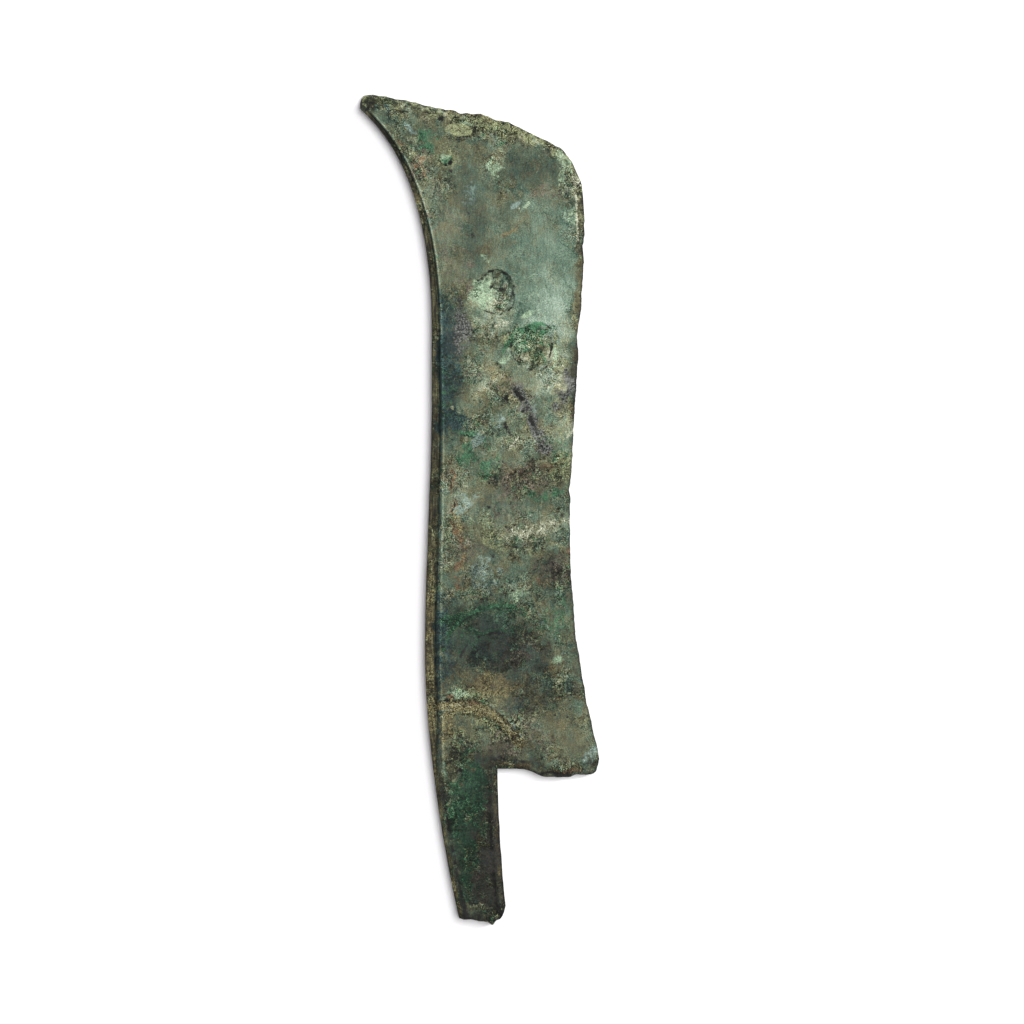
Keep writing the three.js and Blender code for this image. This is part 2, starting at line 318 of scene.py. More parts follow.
# Points of a curve at even steps of its parameter
def lineOf(makePoint, count):
    t = np.linspace(0, 1, count)
    return np.stack(makePoint(t), -1)


edgeSamples = 540
backLine = np.vstack([
    lineOf(lambda t: tangPoint(1.05 - t, t * 0), 160),
    lineOf(lambda t: bladePoint(t, t * 0), 640)[1:],
])
edgeLine = np.vstack([
    lineOf(lambda t: bladePoint(t, t * 0 + 1), edgeSamples),
    lineOf(lambda t: bladePoint(t * 0 + 1, 1 - 0.97 * t), 300)[1:],
])
notchShare = plan["tangRootWidth"] / (edgeAcross(np.array(0.0)) - backAcross(np.array(0.0)))
heelLine = lineOf(lambda t: bladePoint(t * 0, notchShare + (1 - notchShare) * t), 120)
tangSideLine = lineOf(lambda t: tangPoint(t, t * 0 + 1), 160)
tangEndLine = lineOf(lambda t: tangPoint(t * 0 + 1, t), 60)
notchLine = np.vstack([heelLine[heelLine[:, 0] < heelLine[0, 0] + plan["heelBevelRun"]][::-1], tangSideLine])
crestLine = edgeLine[edgeSamples - 1:]


# Width of the flange and run of the step beside it. Both narrow between two heights. The flange thins
# towards the tip as well, and on the tang both give way to a narrow rim and a slope.
def backProfile(along):
    onTang = 1 - smooth(along, -6, 26)
    narrow = smooth(along, plan["narrowFrom"], plan["narrowTo"])
    nearTip = smooth(along, bladeLength - plan["hookLength"] * 0.7, bladeLength)
    flange = plan["flangeWidth"] + (plan["flangeNarrow"] - plan["flangeWidth"]) * narrow
    flange = flange + (plan["tipFlangeWidth"] - flange) * nearTip
    step = plan["stepWidth"] + (plan["stepNarrow"] - plan["stepWidth"]) * narrow
    flange = flange + (plan["tangFlangeWidth"] - flange) * onTang
    return flange, step + (plan["tangBevelWidth"] - step) * onTang


# Grid

# Columns stand at fixed distances from the back and from the edge, found on each row by walking along it, and
# evenly between. Below the notch they also crowd at the slope on the tang's outer side.
def columnShares(height):
    walk = np.linspace(0, 1, mesh["walkSteps"])
    rowHeight, walkShare = np.meshgrid(height, walk, indexing="ij")
    x, y = planPoint(rowHeight, walkShare)
    toBack = np.maximum.accumulate(distanceTo(backLine, x, y), axis=1)
    bevel = plan["bevelWidth"]
    bevelStops = np.array([1.25, 1.1, 1.0, 0.84, 0.67, 0.5, 0.34, 0.17, 0]) * bevel
    slope = plan["tangFlangeWidth"] + plan["tangBevelWidth"]
    slopeStops = np.array([1.1, 1.0, 0.85, 0.7, 0.55, 0.4, plan["tangFlangeWidth"] / slope, 0.1, 0]) * slope
    shares = np.zeros((len(height), mesh["tangColumns"] + mesh["outerColumns"] + 1))
    for row, h in enumerate(height):
        width = tangWidth(h * plan["tangLength"]) if h < 0 else x[row, -1] - x[row, 0]
        flange, step = backProfile(h * (plan["tangLength"] if h < 0 else bladeLength))
        stepStops = flange + step * np.array([0.2, 0.4, 0.6, 0.8, 1])
        backStops = np.concatenate([np.linspace(0, flange, 5), stepStops, [flange + step + 0.4]])
        left = np.interp(backStops, toBack[row], walk)
        root = plan["tangRootWidth"] / width if h >= 0 else 1.0
        slopes = root - slopeStops / width
        inner = np.linspace(left[-1], slopes[0], mesh["tangColumns"] - len(left) - len(slopes) + 3)[1:-1]
        tangPart = np.concatenate([left, inner, slopes])
        shares[row, :len(tangPart)] = tangPart
        if h < 0:
            continue
        nearCrest = smooth(h, 0.7, 0.88)
        right = 1 - bevelStops / width
        if h < 0.88:
            toEdge = np.minimum.accumulate(distanceTo(edgeLine, x[row], y[row]))
            walked = np.interp(-bevelStops, -toEdge, walk)
            right = right * nearCrest + np.where(bevelStops == 0, 1, walked) * (1 - nearCrest)
        outer = np.linspace(root, right[0], mesh["outerColumns"] - len(right) + 2)[1:-1]
        crowded = np.concatenate([tangPart, outer, right])
        between = len(crowded) - len(left) - len(right)
        even = np.concatenate([left, np.linspace(left[-1], right[0], between + 2)[1:-1], right])
        spread = 1 - smooth(np.array(h), 0.01, 0.14)
        shares[row] = even + (crowded - even) * spread
    return shares


print("machete: laying out the grid")
# The blade's rows stand closer towards the tip
t = np.linspace(0, 1, mesh["bladeRows"] + 1)
height = np.concatenate([np.linspace(-1, 0, mesh["tangRows"] + 1)[:-1], 1.25 * t - 0.25 * t ** 2])
columnShare = columnShares(height)
across, along = planPoint(height[:, None] + 0 * columnShare, columnShare)
lastTangColumn = mesh["tangColumns"]
onGrid = (height[:, None] >= 0) | (np.arange(columnShare.shape[1])[None] <= lastTangColumn)
x = across[onGrid]
y = along[onGrid]


# Section

print("machete: working out the section")
toBack = distanceTo(backLine, x, y)
toEdge = distanceTo(edgeLine, x, y)
toNotch = distanceTo(notchLine, x, y)
toHeel = distanceTo(heelLine, x, y)
toCrest = distanceTo(crestLine, x, y)
toEnd = distanceTo(tangEndLine, x, y)


# Wedge from the body's thickness at the back to the bevel's shoulder, and one thickness on the tang
def bodySection():
    wedge = (toEdge / (toEdge + toBack + 1e-6)) ** 0.9
    blade = plan["shoulderThickness"] + (plan["bodyThickness"] - plan["shoulderThickness"]) * wedge
    return plan["bodyThickness"] + (blade - plan["bodyThickness"]) * smooth(y, -8, 12)


# The thinnest of the body, the flange and step at the back, the slope round the notch, the bevel and the heel
def fullSection(body):
    groove = plan["grooveDepth"] * bump(toBack, flange + 0.15 * step, 0.3 * step)
    back = plan["flangeThickness"] - groove + plan["bodyThickness"] * raised((toBack - flange) / step, 1)
    bevelRise = (plan["shoulderThickness"] - plan["edgeThickness"]) / plan["bevelWidth"]
    edge = plan["edgeThickness"] + bevelRise * toEdge
    slope = (toNotch - plan["tangFlangeWidth"]) / plan["tangBevelWidth"]
    slope = plan["flangeThickness"] + plan["bodyThickness"] * raised(slope, 1)
    heel = plan["heelEdgeThickness"] + (plan["bodyThickness"] - plan["heelEdgeThickness"]) * toHeel / 1.5
    return np.minimum.reduce([body, back, edge, slope, heel])


flange, step = backProfile(y)
body = bodySection()
thickness = fullSection(body)
upper = body / 2 + thickness / 2
lower = body / 2 - thickness / 2


# Relief of the upper side

# Places are pixels of the photograph, sizes are millimetres, and turns are degrees from the line across.
# "dark" is how dark the line of painted shade round the form is.
hollowScars = {
    "blister": {"at": (492.5, 292.5), "half": (8.1, 8.5), "turn": 0, "depth": 0.75, "lip": 0.25,
                "dark": 0.22},
    "burst": {"at": (531.5, 347), "half": (8.2, 9.1), "turn": 0, "depth": 0.65, "lip": 0.2, "dark": 0.2},
}
lumpScars = {
    "flake": {"at": (459, 130), "half": (5.3, 2.5), "turn": -4, "height": 0.6, "dark": 0.55},
    "nodule": {"at": (445, 159.5), "half": (2.0, 2.2), "turn": 0, "height": 0.9, "dark": 0.6},
    "lens": {"at": (575.5, 177), "half": (1.7, 3.4), "turn": 15, "height": 0.3, "dark": 0.7},
}
lineScars = {
    "handleTrace": {
        "path": [(440, 706), (456, 705), (472, 706), (486, 711), (499, 719), (510, 729), (522, 743)],
        "width": 1.6, "height": 0.5,
    },
    "handleCrack": {
        "path": [(441, 701), (458, 700), (474, 700.5), (486, 704.5), (498, 713), (508, 723), (519, 735)],
        "width": 0.5, "height": -0.4,
    },
    "furrow": {
        "path": [(517, 387), (524, 400), (531, 416), (539, 431), (546, 449)],
        "width": 1.3, "height": -0.35,
    },
    "ledge": {
        "path": [(447, 448), (450, 470), (449, 490), (453, 512), (457, 540), (458, 575)],
        "width": 0.8, "height": 0.25,
    },
    "dome": {
        "path": [(446, 640), (470, 612), (500, 604), (528, 612), (543, 634), (547, 660)],
        "width": 2.2, "height": 0.25,
    },
}

# Heights of the finer relief, in millimetres
finish = {
    "swell": 0.12,
    "unevenness": 0.07,
    "grit": 0.03,
    "patches": 0.16,
    "crestLumps": 0.9,
    "crestGrains": 0.5,
    "crestRise": 0.25,
    "crestWidth": 5,
    "heelLumps": 0.6,
    "heelGrains": 0.4,
    "heelWidth": 3.5,
    "pitDepth": 0.16,
    # spacing, radius, share of the places that have one, seed, weight
    "pits": [(5.5, 0.75, 0.45, 51, 1.0), (2.6, 0.5, 0.3, 53, 0.7)],
    "floorGrains": 0.45,
    "floorGrit": 0.2,
    "floorLumps": 0.3,
    "floorRise": 0.4,
    "flangeGrains": 0.07,
    "underPits": 0.12,
    "underSwell": 0.05,
}


# Millimetres across and along for a pixel of the photograph
def onBlade(pixel):
    scale = photo["millimetresPerPixel"]
    return (pixel[0] - photo["backPixel"]) * scale, (photo["notchPixel"] - pixel[1]) * scale


# How far out a point lies in a turned ellipse: 0 at its centre and 1 on its rim
def turnedReach(dx, dy, half, turn):
    angle = math.radians(turn)
    u = (dx * math.cos(angle) + dy * math.sin(angle)) / half[0]
    v = (dy * math.cos(angle) - dx * math.sin(angle)) / half[1]
    return np.hypot(u, v)


# The same, with the rim bent by a cloud
def ellipseReach(at, half, turn, wander, seed):
    centreX, centreY = onBlade(at)
    bent = wander * layered(x, y, max(0.9, 0.7 * min(half)), seed, 3)
    return turnedReach(x - centreX, y - centreY, half, turn) + bent


def hollowReach(scar):
    return ellipseReach(scar["at"], scar["half"], scar["turn"], 0.1, 61)


def lumpReach(scar):
    return ellipseReach(scar["at"], scar["half"], scar["turn"], 0.05, 71)


# Distance to a smooth line through the path, counted in widths
def pathReach(path, width):
    line = evenCurve([onBlade(pixel) for pixel in path], 90)
    return distanceTo(line, x, y) / width


# Swell, unevenness, patches of crust and the crusts of the crest and the heel, less the pits. Hollows take
# its place inside their rims, lumps and lines are added, and by the outline it gives way to a fine grain.
def reliefAndHollows():
    lumps = layered(x, y, 2.6, 43, 3)
    grains = layered(x, y, 1.3, 41, 3)
    grit = layered(x, y, 0.9, 47, 2)
    uneven = finish["unevenness"] * layered(x, y, 3.4, 33, 4) + finish["grit"] * grit
    rise = finish["swell"] * layered(x, y, 16, 31, 3) + uneven * (1 - 0.75 * calm)
    patches = smooth(layered(x, y, 7, 37, 4), 0.12, 0.24)
    rise = rise + finish["patches"] * patches * (0.6 + grains) * (1 - calm)
    crust = finish["crestLumps"] * lumps + finish["crestGrains"] * grains + finish["crestRise"]
    rise = rise + crust * (1 - smooth(toCrest, 1.0, finish["crestWidth"])) * smooth(toCrest, 0, 0.7)
    crust = (finish["heelLumps"] * lumps + finish["heelGrains"] * grains) * smooth(toHeel, 0, 0.6)
    notchX = heelLine[0, 0]
    rise = rise + crust * (1 - smooth(toHeel, 0.8, finish["heelWidth"])) * smooth(x, notchX, notchX + 4)
    pits = sum(weight * spots(x, y, *spread) for *spread, weight in finish["pits"])
    rise = rise - finish["pitDepth"] * smooth(pits, 0, 0.7) * (1 - 0.8 * calm)
    floors = 0
    for scar in hollowScars.values():
        reach = hollowReach(scar)
        inside = 1 - smooth(reach, 0.88, 1.0)
        floor = finish["floorGrains"] * grains + finish["floorGrit"] * grit - scar["depth"]
        floor = floor + finish["floorLumps"] * layered(x, y, 4, 65, 2)
        floor = floor + finish["floorRise"] * (1 - reach) + 0.2 * bump(reach, 0.7, 0.2)
        rise = rise * (1 - inside) + floor * inside + scar["lip"] * bump(reach, 1.1, 0.1)
        floors = floors + inside
    for scar in lumpScars.values():
        reach = lumpReach(scar)
        crown = 1 - 0.4 * smooth(reach, 0.9, 0.2)
        rise = rise + scar["height"] * crown * (1 - smooth(reach, 0.85, 1.08)) - 0.2 * bump(reach, 1.2, 0.14)
    broken = 0.75 + 0.8 * layered(x, y, 2.2, 81, 3)
    for scar in lineScars.values():
        rise = rise + scar["height"] * broken * np.exp(-pathReach(scar["path"], scar["width"]) ** 2)
    inner = smooth(np.minimum(toBack - flange - 0.6 * step, np.minimum(toEdge, toNotch)), 0.1, 1.6)
    inner = inner * (1 - 0.8 * (1 - smooth(y, -6, 6)))
    outer = finish["flangeGrains"] * layered(x, y, 1.6, 91, 3) * smooth(np.minimum(toBack, toEdge), 0, 0.5)
    return rise * inner + outer * (1 - inner), pits, floors


# Place, half lengths, strength and turn of a field or a stain. Where no turn is given, it is 0.
def fieldParts(field):
    return field[:2], field[2:4], field[4], field[5] if len(field) > 5 else 0


# Where the surface is smooth: place in pixels, half lengths in millimetres, strength, turn
calmFields = {
    "smooth light": (530, 255, 20, 22, 0.95), "tan grey": (460, 240, 12, 25, 0.9, 4),
    "charcoal one": (463, 170, 5, 8, 0.9), "charcoal two": (532, 168, 13, 8, 0.9, -8),
    "navy strip": (455, 370, 6, 26, 0.5), "grey teal": (484, 575, 6, 5, 0.5),
    "beside the seam": (498, 505, 10, 8, 0.6), "below the burst": (522, 380, 9, 4.4, 0.5),
    "heel": (556, 742, 14, 8, 0.5), "under the knee": (492, 556, 7, 6, 0.4),
    "pale blue field": (463, 505, 5, 6, 0.5), "right of the blister": (545, 275, 14, 12, 0.5),
    "between the charcoals": (498, 192, 12, 11, 0.6), "below the shoulder": (556, 188, 7, 9, 0.5),
    "dome": (494, 645, 18, 15, 0.3), "heel's corner": (576, 748, 7, 6, 0.6),
    "above the burst": (545, 310, 10, 8, 0.5),
}
calm = 0
for at, half, strength, turn in map(fieldParts, calmFields.values()):
    calm = calm + strength * (1 - smooth(ellipseReach(at, half, turn, 0.2, 300), 0.5, 1.3))
calm = np.clip(calm, 0, 1)
relief, pits, floors = reliefAndHollows()

# Where it is crusty: the crest, the hollows, the bottom of the heel, the handle's trace, the tip and the tang
crusty = 0.8 * (1 - smooth(toCrest, 3, 8)) + 0.6 * floors + 0.9 * (1 - smooth(toHeel, 1, 5)) * (y > -2)
crusty = crusty + 0.8 * np.exp(-pathReach(lineScars["handleTrace"]["path"], 4) ** 2)
crusty = crusty + 0.15 * smooth(y, 225, 245) + 0.4 * (1 - smooth(y, -16, 0))
onFlake = 1 - smooth(lumpReach(lumpScars["flake"]), 0.9, 1.1)
crusty = crusty * (1 - onFlake) - 0.5 * onFlake
upper = upper + relief
lower = lower + finish["underPits"] * smooth(spots(x, y, 4.2, 0.8, 0.4, 57), 0, 0.7)
lower = lower + finish["underSwell"] * np.abs(layered(x, y, 9, 35, 4))


# Stains

# Patches by layer. Each has its place in the photograph's pixels, its half lengths in millimetres, its
# strength and, where it is turned, its turn in degrees. "tone" lightens or darkens, for the colour and in
# places as painted light and shade, "hue" is olive below zero and teal above, and the other layers are
# deposits of their own colours, with "black" in places painted shade.
stains = {
    "tone": {
        # behind the hook: dark partly for its colour and partly as painted shade of the back's side along the
        # hook, which faces away from the light
        "tip": (366, 103, 3.4, 3.4, -0.55, -30), "behind the hook": (392, 142, 12, 1.8, -0.26, -52),
        "light of the hook": (430, 190, 4, 22, 0.12, -24), "charcoal one": (466, 170, 5, 9, -0.12),
        "charcoal two": (532, 170, 13, 8, -0.2, -8), "pale between": (498, 150, 5, 7, 0.14),
        "dark stripe": (474, 222, 6, 18, -0.2), "tan grey": (446, 240, 6, 22, 0.05, 4),
        "smooth light": (548, 262, 16, 26, 0.15, 4), "brightest": (553, 322, 11, 17, 0.28),
        "around the blister": (492, 312, 9, 9, 0.3), "below the burst": (545, 375, 14, 12, 0.14),
        "burst's middle": (534, 347, 6.5, 6.5, -0.05), "navy strip": (450, 365, 6.5, 32, -0.2),
        "navy strip's core": (449, 350, 3.5, 24, -0.1), "left of the burst": (494, 368, 9, 9, 0.1),
        "pale right side": (560, 390, 6, 24, 0.16, 4), "right edge's shade": (577, 375, 2, 30, -0.26, 2),
        "dark blot": (566, 394, 2.6, 2.2, -0.3), "middle light": (530, 437, 12, 6, 0.18),
        "middle dark": (486, 405, 6, 6, -0.06), "low navy": (450, 428, 5, 8, -0.1),
        "red brown side": (458, 500, 7, 11, 0.14), "pale blue side": (466, 508, 6, 5, 0.14),
        "brown zone": (538, 484, 16, 9, -0.16), "speckled light": (548, 526, 13, 5.5, 0.14, 6),
        "rusty dark": (552, 576, 8, 9, -0.26), "dome": (486, 642, 24, 20, -0.3),
        "dome's core": (500, 650, 12, 12, -0.1), "edge strip": (582, 668, 4, 16, -0.1, 8),
        "above the trace": (470, 698, 13, 5, 0.12), "right of the trace": (530, 695, 11, 8, -0.22),
        "below the trace": (490, 752, 17, 7, -0.16), "tang": (476, 800, 16, 22, -0.38, -4),
        # burst's light: painted light on the burst's left wall, which faces the light
        "tang's end": (484, 880, 16, 22, -0.5, -8), "burst's light": (521, 347, 5, 6, 0.3),
        "over the navy": (482, 385, 5, 6, 0.15), "right of the furrow": (562, 432, 6, 6, 0.12),
        "green triangle's light": (500, 456, 12, 6, 0.04), "lower heel": (543, 769, 22, 3.6, -0.24, -3),
        "heel over the tang": (478, 745, 10, 5, 0.1), "tip's upper side": (394, 104, 13, 2.6, -0.24, -12),
        "right edge umber's shade": (569, 388, 3.4, 6, -0.2),
        "orange spot's light": (419.7, 161.4, 2, 1.8, 0.6),
        "brown streak's light": (424, 172, 4, 1.2, 0.25, -62),
        # burst's shade: painted shade over the burst's right side, away from the light
        "crest's light": (506, 126, 9, 3.4, 0.2, -14), "burst's shade": (535, 347, 6.4, 7, -0.2),
        "shade by the flange": (434, 755, 1.6, 16, -0.25), "low edge's shade": (548, 665, 5, 9, -0.18),
        "shade of the tang's side": (499, 825, 3.4, 12, -0.2), "tip's end": (358, 105, 4, 3.6, -0.5),
        "heel corner's shade": (594, 768, 3, 3.4, -0.15), "by the tip": (376, 122, 5, 4, -0.2, -40),
        "below the crest's end": (554, 146, 7, 4, -0.16, -30),
        "right under the burst": (546, 384, 5, 8, 0.28), "beside the furrow": (520, 402, 6, 5, 0.12),
        "right edge's low shade": (577, 428, 3, 6, -0.2), "olive smooth shade": (484, 498, 5, 7, -0.14),
        "shade under the knee": (490, 548, 8, 5, -0.1), "shade left of the mint": (482, 574, 5, 7, -0.1),
        "shade over the dome": (538, 588, 8, 5, -0.02), "shade at the low edge": (574, 600, 6, 8, -0.16),
        "shade right of the dome": (537, 655, 6, 10, -0.14),
        "shade at the edge strip": (577, 655, 4, 9, -0.14, 6),
        "shade over the trace": (446, 678, 6, 7, -0.14),
        "shade at the heel's side": (560, 698, 7, 8, -0.12),
        "shade under the trace": (463, 726, 7, 5, -0.16), "shade by the notch": (506, 765, 6, 3, -0.12),
        "shade of the tang's root": (443, 785, 4, 5, -0.2), "light over the bridge": (490, 384, 8, 6, 0.18),
        "light by the burst": (542, 328, 7, 4, 0.12), "light at the notch": (480, 744, 12, 4, 0.08),
        "light at the low heel": (548, 748, 8, 5, 0.02),
        "shade at the notch's end": (518, 768, 8, 3, -0.12),
        "shade of the pale side": (578, 378, 3, 16, -0.12),
        "shade under the crest's end": (550, 160, 5, 6, 0.08),
        "tang's middle light": (460, 790, 4, 10, 0.1, -8),
    },
    "hue": {
        "hook": (405, 140, 5, 14, 0.4, 35), "bright": (540, 315, 18, 12, 0.8),
        "right": (570, 250, 6, 26, 0.4), "strip beside the seam": (445, 580, 3, 40, 0.5, 2),
        "burst's olive": (537, 351, 5.4, 6, -0.6), "charcoal two's": (530, 172, 13, 8, 0.45),
        "charcoal one's": (466, 170, 6, 9, 0.3), "dark stripe's": (474, 215, 6, 22, 0.4),
        "olive edge": (580, 322, 2.4, 22, -1.2), "left of the burst's": (516, 352, 6, 7, 0.4),
        "blue middle": (488, 435, 8, 6, 0.4), "ochre side": (553, 468, 7, 4, -0.7),
        "over the wing": (545, 503, 8, 4, 0.4), "over the dome": (505, 588, 9, 5, 0.6),
        "notch": (490, 748, 12, 5, -0.5), "tip": (380, 115, 8, 6, 0.4, -40),
        "olive by the tip": (450, 150, 12, 8, -0.55, -20), "olive crest": (480, 122, 26, 3.6, -0.9, -12),
        "smooth": (541, 268, 17, 25, 0.9), "tan grey": (446, 235, 6, 24, -0.2),
        "pale right": (565, 405, 6, 34, 0.05, 2), "middle": (500, 380, 10, 10, -0.2),
        "brown zone": (537, 482, 15, 9, -0.4), "dome": (492, 645, 20, 16, 0.5),
        "low middle": (500, 690, 18, 7, -0.4), "heel's brown": (560, 730, 13, 12, -0.45),
    },
    "umber": {
        "behind the hook": (412, 172, 3, 12, 0.5, -32), "by the scratch": (548, 193, 6, 2.6, 0.6, 10),
        "field": (446, 232, 5, 20, 0.35, 4), "beside the blister": (466, 275, 4, 12, 0.4),
        "bridge": (505, 385, 12, 4, 0.35, -30), "zone": (528, 477, 14, 7, 0.5),
        "below the zone": (505, 505, 10, 8, 0.4), "knee": (470, 548, 7, 6, 0.5, -30),
        "low": (556, 572, 8, 6, 0.5), "dome": (520, 640, 8, 6, 0.35), "heel": (520, 728, 16, 10, 0.4, -20),
        "notch": (500, 752, 9, 5, 0.4), "tang": (491, 830, 2.6, 24, 0.6, 3),
        "dome's umber": (514, 655, 9, 5, 0.4, 20), "at the right edge": (569, 388, 3.6, 6, 0.2),
        "at the edge below": (572, 425, 2.4, 6, 0.5), "tang's end umber": (484, 888, 12, 11, 0.35),
        "tang side's umber": (501, 830, 2.4, 24, 0.2, 3),
    },
    "moss": {
        "at the crest": (500, 122, 30, 3.4, 0.45, -14), "at the tip": (395, 103, 12, 2, 0.2, -12),
        "in the olive": (448, 153, 8, 6, 0.4), "in the burst": (536, 348, 6, 6, 0.35),
        "on the right": (566, 405, 5, 28, 0.28, 2), "below the furrow": (560, 468, 6, 8, 0.5),
        "in the middle": (492, 530, 5, 8, 0.45, 20), "above the trace": (486, 700, 12, 5, 0.3, -20),
        "below the trace": (470, 722, 12, 8, 0.4, -20),
    },
    "navy": {
        "beside the flange": (446, 640, 4.4, 22, 0.75), "foot's end": (466, 424, 7, 3.6, 0.5, -10),
        "strip hue": (449, 362, 5, 27, 0.85), "foot": (452, 425, 6, 6, 0.5),
        "in the dome": (500, 640, 16, 9, 0.45, 10), "by the trace": (520, 703, 5, 4, 0.5),
        "tang's lower blue": (486, 860, 4, 9, 0.45, -6),
    },
    "emerald": {
        "dome's arc": (458, 618, 8, 3.4, 0.35, 25), "dome's top": (502, 610, 11, 3, 0.4, -5),
        "dome's side": (470, 640, 6, 5, 0.35), "burst's green": (535, 346, 6.4, 7.4, 0.14),
        "dome's green": (492, 628, 18, 11, 0.2), "green right of the burst": (560, 450, 5, 8, 0.25),
        "green crest foot": (490, 135, 10, 4, 0.1, -14), "by the tip": (426, 137, 4.2, 5.6, 0.85, -20),
        "nodule's green": (445, 160, 1.7, 1.9, 1.2), "burst's emerald": (519, 347, 2.6, 2.4, 0.7),
        "burst's upper green": (537, 332, 5.6, 2.2, 0.5, 15), "navy green": (446, 395, 3, 12, 0.4),
        "speckle": (466, 455, 3.8, 3.6, 0.7), "green middle": (490, 465, 6, 4.4, 0.6, -20),
        "in the brown": (538, 495, 5, 2.6, 0.55), "edge": (556, 494, 2.8, 2.8, 0.65),
        "low": (558, 620, 7.4, 8.4, 0.45), "tang's green": (467, 809, 7.4, 20, 0.85, -8),
        "tang's bright two": (474, 778, 2.8, 3.2, 0.9), "tang's end green": (467, 872, 4.2, 12, 0.7, -10),
    },
    "mint": {
        "burst's mint": (518, 344, 3, 5, 0.5), "greenish middle": (530, 300, 16, 12, 0.25),
        "nodule's rim": (444, 157, 2.2, 1.4, 0.9, 20), "flake's rim": (466, 124, 3.4, 0.9, 0.7, -15),
        "pale shoulder": (563, 165, 3.4, 8, 0.65, 10), "green pale flecks": (496, 167, 3, 4, 0.85, 20),
        "below the shoulder": (571, 215, 2, 4.4, 0.7), "pale scratch": (526, 207, 3.2, 0.9, 0.8, 35),
        # blister's left: its pale crust, lighter also as painted light on the wall that faces the light
        "spot above": (484, 258, 1.4, 2.6, 0.55, 20), "blister's left": (483, 296, 5, 6.2, 0.9),
        "blister's top": (484, 284, 4.4, 3, 0.6, 30), "spot": (527, 314, 2.8, 1.8, 0.9, 35),
        "burst's left halo": (506, 361, 2.8, 1.5, 0.85, 40), "speckle": (485, 520, 6, 5, 0.35),
        "low": (518, 592, 5, 3.2, 0.65), "pale strip at the edge": (577, 665, 2.1, 11, 0.3, 8),
        "turquoise low": (559, 657, 1.8, 2, 0.9), "trace's mint": (461, 696, 3.2, 1.4, 1),
        "trace's top mint": (452, 692, 2.2, 0.9, 0.9), "tang's bright one": (462, 764, 2.2, 1.4, 0.55),
    },
    "tan": {
        "beside the dome": (460, 674, 5, 3, 0.5), "heel's crust": (540, 766, 16, 1.6, 0.15, -4),
        "crumbs under the dome": (488, 682, 8, 4, 0.35, -20), "ochre side's tan": (555, 467, 5, 3.4, 0.35),
        "below the trace": (462, 718, 10, 5, 0.45, 10), "crust on the crest": (470, 113, 20, 2, 0.4, -13),
        "crust on the shoulder": (535, 137, 10, 2.2, 0.15, -30), "brown scratch": (510, 231, 4.4, 1, 1, 40),
        "speckle": (418, 205, 2, 12, 0.5, -20), "mottle": (488, 362, 5, 8, 0.3),
        "mottle two": (505, 385, 8, 4, 0.3, 20), "green yellow": (572, 410, 1.2, 2.4, 0.8),
        "orange tan": (551, 668, 2.8, 3.2, 0.8), "ochre": (483, 679, 1.8, 1.2, 1),
        "under the dome": (495, 688, 11, 5.5, 0.6), "specks low": (564, 718, 4, 8, 0.45),
        "tang's flecks": (472, 850, 7, 18, 0.2, -8), "column": (447, 732, 2.2, 11, 0.45),
        "heel's tan": (522, 765, 3.4, 0.9, 0.8),
    },
    "rust": {
        "orange spot": (419.7, 161.4, 1.7, 1.5, 0.9), "small orange spot": (416.3, 168, 1.2, 1.2, 0.8),
        "brown streak": (424, 171, 3.8, 1, 0.6, -62), "rusty step": (400, 142, 3.4, 1.2, 0.7, -50),
        "red brown crest": (550, 143, 4.5, 1.6, 0.35, -30), "red brown line": (452, 488, 1.8, 14, 0.2, 4),
        "red brown knee": (458, 535, 3, 7, 0.2, -20), "brown crust": (520, 470, 8, 5, 0.35),
        "in the brown": (548, 465, 2.4, 1.8, 0.5), "dark red at the edge": (569, 552, 0.9, 2, 0.8),
        "red brown low": (459, 577, 2.6, 6, 0.35), "low": (542, 580, 4, 4, 0.5),
        "trace's red": (450, 696, 2.4, 1.1, 1), "trace's rust": (474, 703, 3, 0.9, 0.7),
        "tang's orange": (472, 772, 1.4, 1.1, 0.7), "heel's rust": (562, 772, 9, 1.3, 1, 3),
    },
    "slate": {
        "patch right of the furrow": (531, 409, 1.6, 2.4, 0.7, 20),
        "pale streak by the tip": (409, 128, 3.6, 1, 1, -42),
        "pale fleck by the tip": (386, 107, 1.6, 1.4, 0.8),
        "turquoise scratch": (515, 203, 2.8, 1.1, 1, 40), "blue grey speckle": (470, 197, 4.4, 6.4, 0.5),
        "pale blue middle": (498, 422, 3.6, 3.2, 0.7, 20), "pale blue left": (476, 442, 3.2, 2.2, 0.8, 20),
        "pale blue field": (463, 502, 4.6, 5.4, 0.75), "grey teal low": (484, 574, 6.4, 6.4, 0.65),
        "heel's teal": (591, 758, 2.2, 5, 0.7, -12),
    },
    "cream": {
        "in the grey crust": (457, 328, 3.2, 9, 0.1, 6),
        "lens at the shoulder": (577, 180, 1.6, 4.4, 0.9, 10), "blister's foot": (493, 304, 4.4, 2.4, 0.6),
        "between the scars": (503, 324, 4.8, 4.4, 0.45, 40), "burst's flecks": (535, 342, 4.6, 4.4, 0.35),
        "right of the scars": (566, 338, 4.4, 9, 0.08, 20), "white dot": (452, 407, 0.9, 0.9, 1.4),
        "pale scratch low": (514, 443, 4.2, 0.5, 0.9, 52), "pale diagonal": (570, 433, 2.6, 0.8, 0.7, 50),
        "speckle": (538, 528, 13, 5, 0.35, 8), "small white dot": (559, 683, 0.8, 0.8, 1.3),
    },
    "ash": {
        "on the navy": (458, 328, 3.4, 12, 1, 4), "at the right edge": (568, 384, 3.6, 7, 1),
        "below the edge's ash": (563, 410, 3, 5, 0.5, 10), "by the seam": (478, 372, 3, 6, 0.3),
    },
    "black": {
        "heel's shade": (545, 773, 16, 1.2, 1, -2), "dome's black": (495, 648, 16, 9, 0.25),
